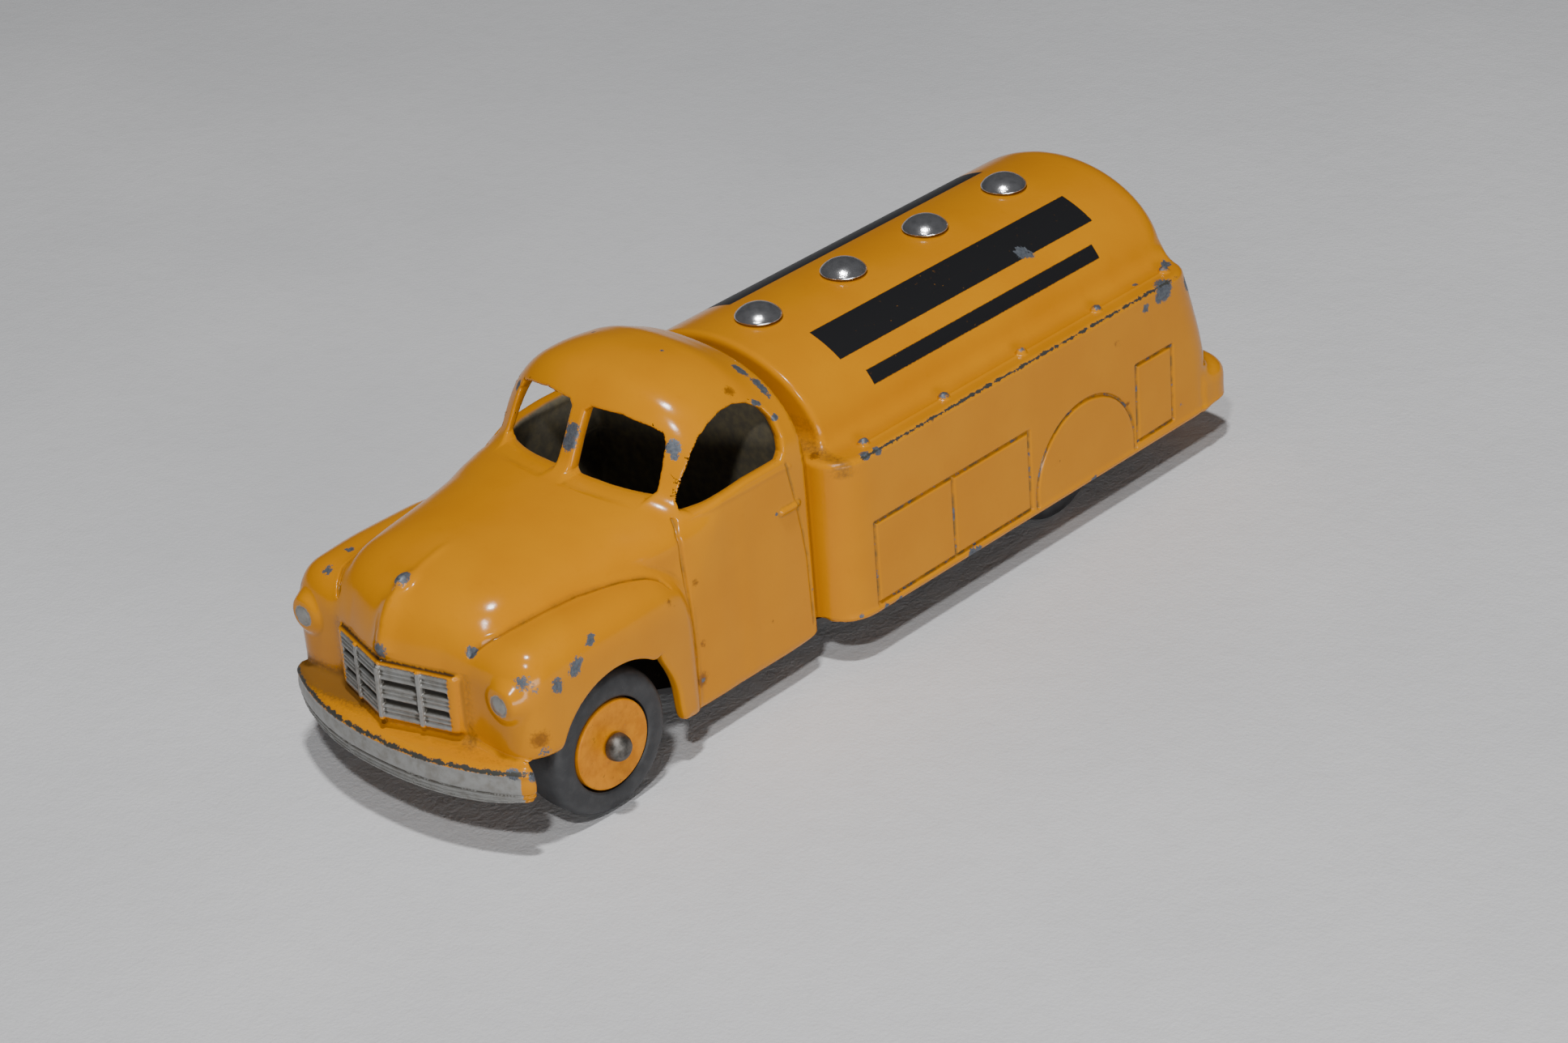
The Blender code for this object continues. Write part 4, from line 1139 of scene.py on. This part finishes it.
def dress(ob, mat, body, slot, *nodes):
    ob.data.materials.clear()
    ob.data.materials.append(mat)
    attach(ob, body)
    if nodes:
        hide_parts(*nodes)


cab_ob = casting("cab_body", cab, cab_base, (-19.2, -57.6, 3.0), (19.2, -7.4, 38.6), 0.66, cab_size, cab_fields, 4)
dress(cab_ob, M_CAB, "truck_body", "body_enamel", "cab_casting")
tank_ob = casting("tank_body", tank, tank_base, (-19.6, -9.9, 4.0), (19.6, 60.0, 34.2), 0.72, tank_size, tank_fields, 4)
dress(tank_ob, M_TANK, "truck_body", "body_enamel", "tank_casting")

TYRE_R, HUB_R, AXLE_Z = 7.7, 4.75, 7.7
for end, y0, face in (("front", -40.4, 17.0), ("rear", 30.7, 14.4)):
    for side, s in (("left", 1.0), ("right", -1.0)):
        c = (0.0, y0, AXLE_Z)
        w = 4.9
        t = [(0.0, 5.0), (0.14, 5.25), (0.20, 5.7), (0.16, 6.4), (-0.02, 7.0), (-0.38, 7.42), (-0.95, 7.65), (-1.7, 7.70),
             (-2.45, 7.70), (-3.2, 7.70), (-3.95, 7.65), (-4.52, 7.42), (-4.83, 6.95), (-4.9, 6.3), (-4.9, 5.0)]
        t = smooth_profile(t, 4)
        ob = lathe("tyre_%s_%s_look" % (end, side), [(s * (face - 0.2 + a), r) for a, r in t], c, "X", 128)
        dress(ob, M_RUB, "%s_%s_wheel" % (end, side), "tyre_rubber", "tyre_%s_%s" % (end, side))
        h = [(-0.02, 1.04), (-0.02, 1.5), (-0.10, 1.7), (-0.06, 2.6), (0.0, 3.6), (0.05, 4.35), (0.02, 4.6), (-0.10, 4.71), (-0.34, 4.75),
             (-4.3, 4.75), (-4.6, 4.45), (-4.6, 2.6), (-5.1, 2.3), (-5.1, 1.04)]
        ob = lathe("hub_%s_%s_look" % (end, side), [(s * (face + a), r) for a, r in h], c, "X", 96, 30.0)
        dress(ob, M_HUB, "%s_%s_wheel" % (end, side), "hub_enamel", "hub_%s_%s" % (end, side))
    head = face + 0.3
    half = [(-head - 1.62, 0.0), (-head - 1.60, 0.35), (-head - 1.48, 0.75), (-head - 1.25, 1.10), (-head - 0.92, 1.32), (-head - 0.5, 1.43),
            (-head - 0.15, 1.45), (-head, 1.38), (-head, 0.95)]
    ob = lathe("axle_%s_look" % end, half + [(-a, r) for a, r in reversed(half)], (0.0, y0, AXLE_Z), "X", 64, 50.0)
    dress(ob, M_AXLE, end + "_axle_set", "axle_steel", end + "_axle")

for k in range(4):
    z = 32.65 + 0.3
    prof = [(1.16, 0.0), (1.14, 0.4), (1.06, 0.9), (0.92, 1.35), (0.70, 1.78), (0.44, 2.14), (0.20, 2.38), (0.03, 2.52), (-0.08, 2.54), (-0.16, 2.48),
            (-0.16, 1.0), (-1.0, 1.0), (-1.0, 0.0)]
    ob = lathe("cap_%d_look" % (k + 1), [(z + a, r) for a, r in prof], (0.0, 0.9 + 13.1 * k, 0.0), "Z", 72, 45.0)
    dress(ob, M_CAP, "truck_body", "cap_bright", "filler_cap_%d" % (k + 1))

for name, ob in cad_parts.items():
    if name == "base_plate":
        ob.data.materials.clear()
        ob.data.materials.append(M_PLATE)
    elif name.startswith("base_rivet"):
        ob.data.materials.clear()
        ob.data.materials.append(M_RIVET)

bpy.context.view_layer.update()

# ------------------------------------------------------------------ floor, light, camera
me = bpy.data.meshes.new("floor")
me.from_pydata([(-1.4, -1.4, 0), (1.4, -1.4, 0), (1.4, 1.4, 0), (-1.4, 1.4, 0)], [], [(0, 1, 2, 3)])
floor = bpy.data.objects.new("floor", me)
bpy.context.scene.collection.objects.link(floor)
floor.data.materials.append(paper())


def area(name, loc, aim, w, h, power, colour=(1, 1, 1)):
    d = bpy.data.lights.new(name, "AREA")
    d.shape = "RECTANGLE"
    d.size, d.size_y, d.energy, d.color = w, h, power, colour
    o = bpy.data.objects.new(name, d)
    bpy.context.scene.collection.objects.link(o)
    o.location = loc
    o.rotation_euler = (Vector(aim) - Vector(loc)).to_track_quat("-Z", "Y").to_euler()
    return o


area("key", (0.236, -0.310, 0.484), (0.0, 0.0, 0.015), 0.045, 0.030, 1.45)
area("top", (0.095, -0.10, 0.60), (0.0, 0.0, 0.015), 0.045, 0.030, 2.6)
area("fill", (0.60, -0.30, 0.095), (0.0, 0.0, 0.03), 0.50, 0.15, 2.6)

world = bpy.data.worlds.new("studio")
bpy.context.scene.world = world
world.use_nodes = True
bg = world.node_tree.nodes.get("Background")
bg.inputs[0].default_value = (0.90, 0.93, 1.0, 1.0)
bg.inputs[1].default_value = 0.052

cam = bpy.data.cameras.new("camera")
cam.sensor_width = 36.0
cam.lens = 88.07
cam_ob = bpy.data.objects.new("camera", cam)
bpy.context.scene.collection.objects.link(cam_ob)
bpy.context.scene.camera = cam_ob
AZ, EL, ROLL = math.radians(45.3847), math.radians(28.9711), math.radians(-4.6808)
back = Vector((math.sin(AZ) * math.cos(EL), -math.cos(AZ) * math.cos(EL), math.sin(EL)))
right = (-back).cross(Vector((0, 0, 1))).normalized()
up = right.cross(-back).normalized()
r2 = math.cos(ROLL) * right + math.sin(ROLL) * up
u2 = -math.sin(ROLL) * right + math.cos(ROLL) * up
target = Vector((8.140, -5.877 - MID_Y, 14.04)) * MM
loc = target + back * 0.39742
from mathutils import Matrix
cam_ob.matrix_world = Matrix(((r2.x, u2.x, back.x, loc.x), (r2.y, u2.y, back.y, loc.y), (r2.z, u2.z, back.z, loc.z), (0, 0, 0, 1)))
cam.clip_start, cam.clip_end = 0.01, 10.0
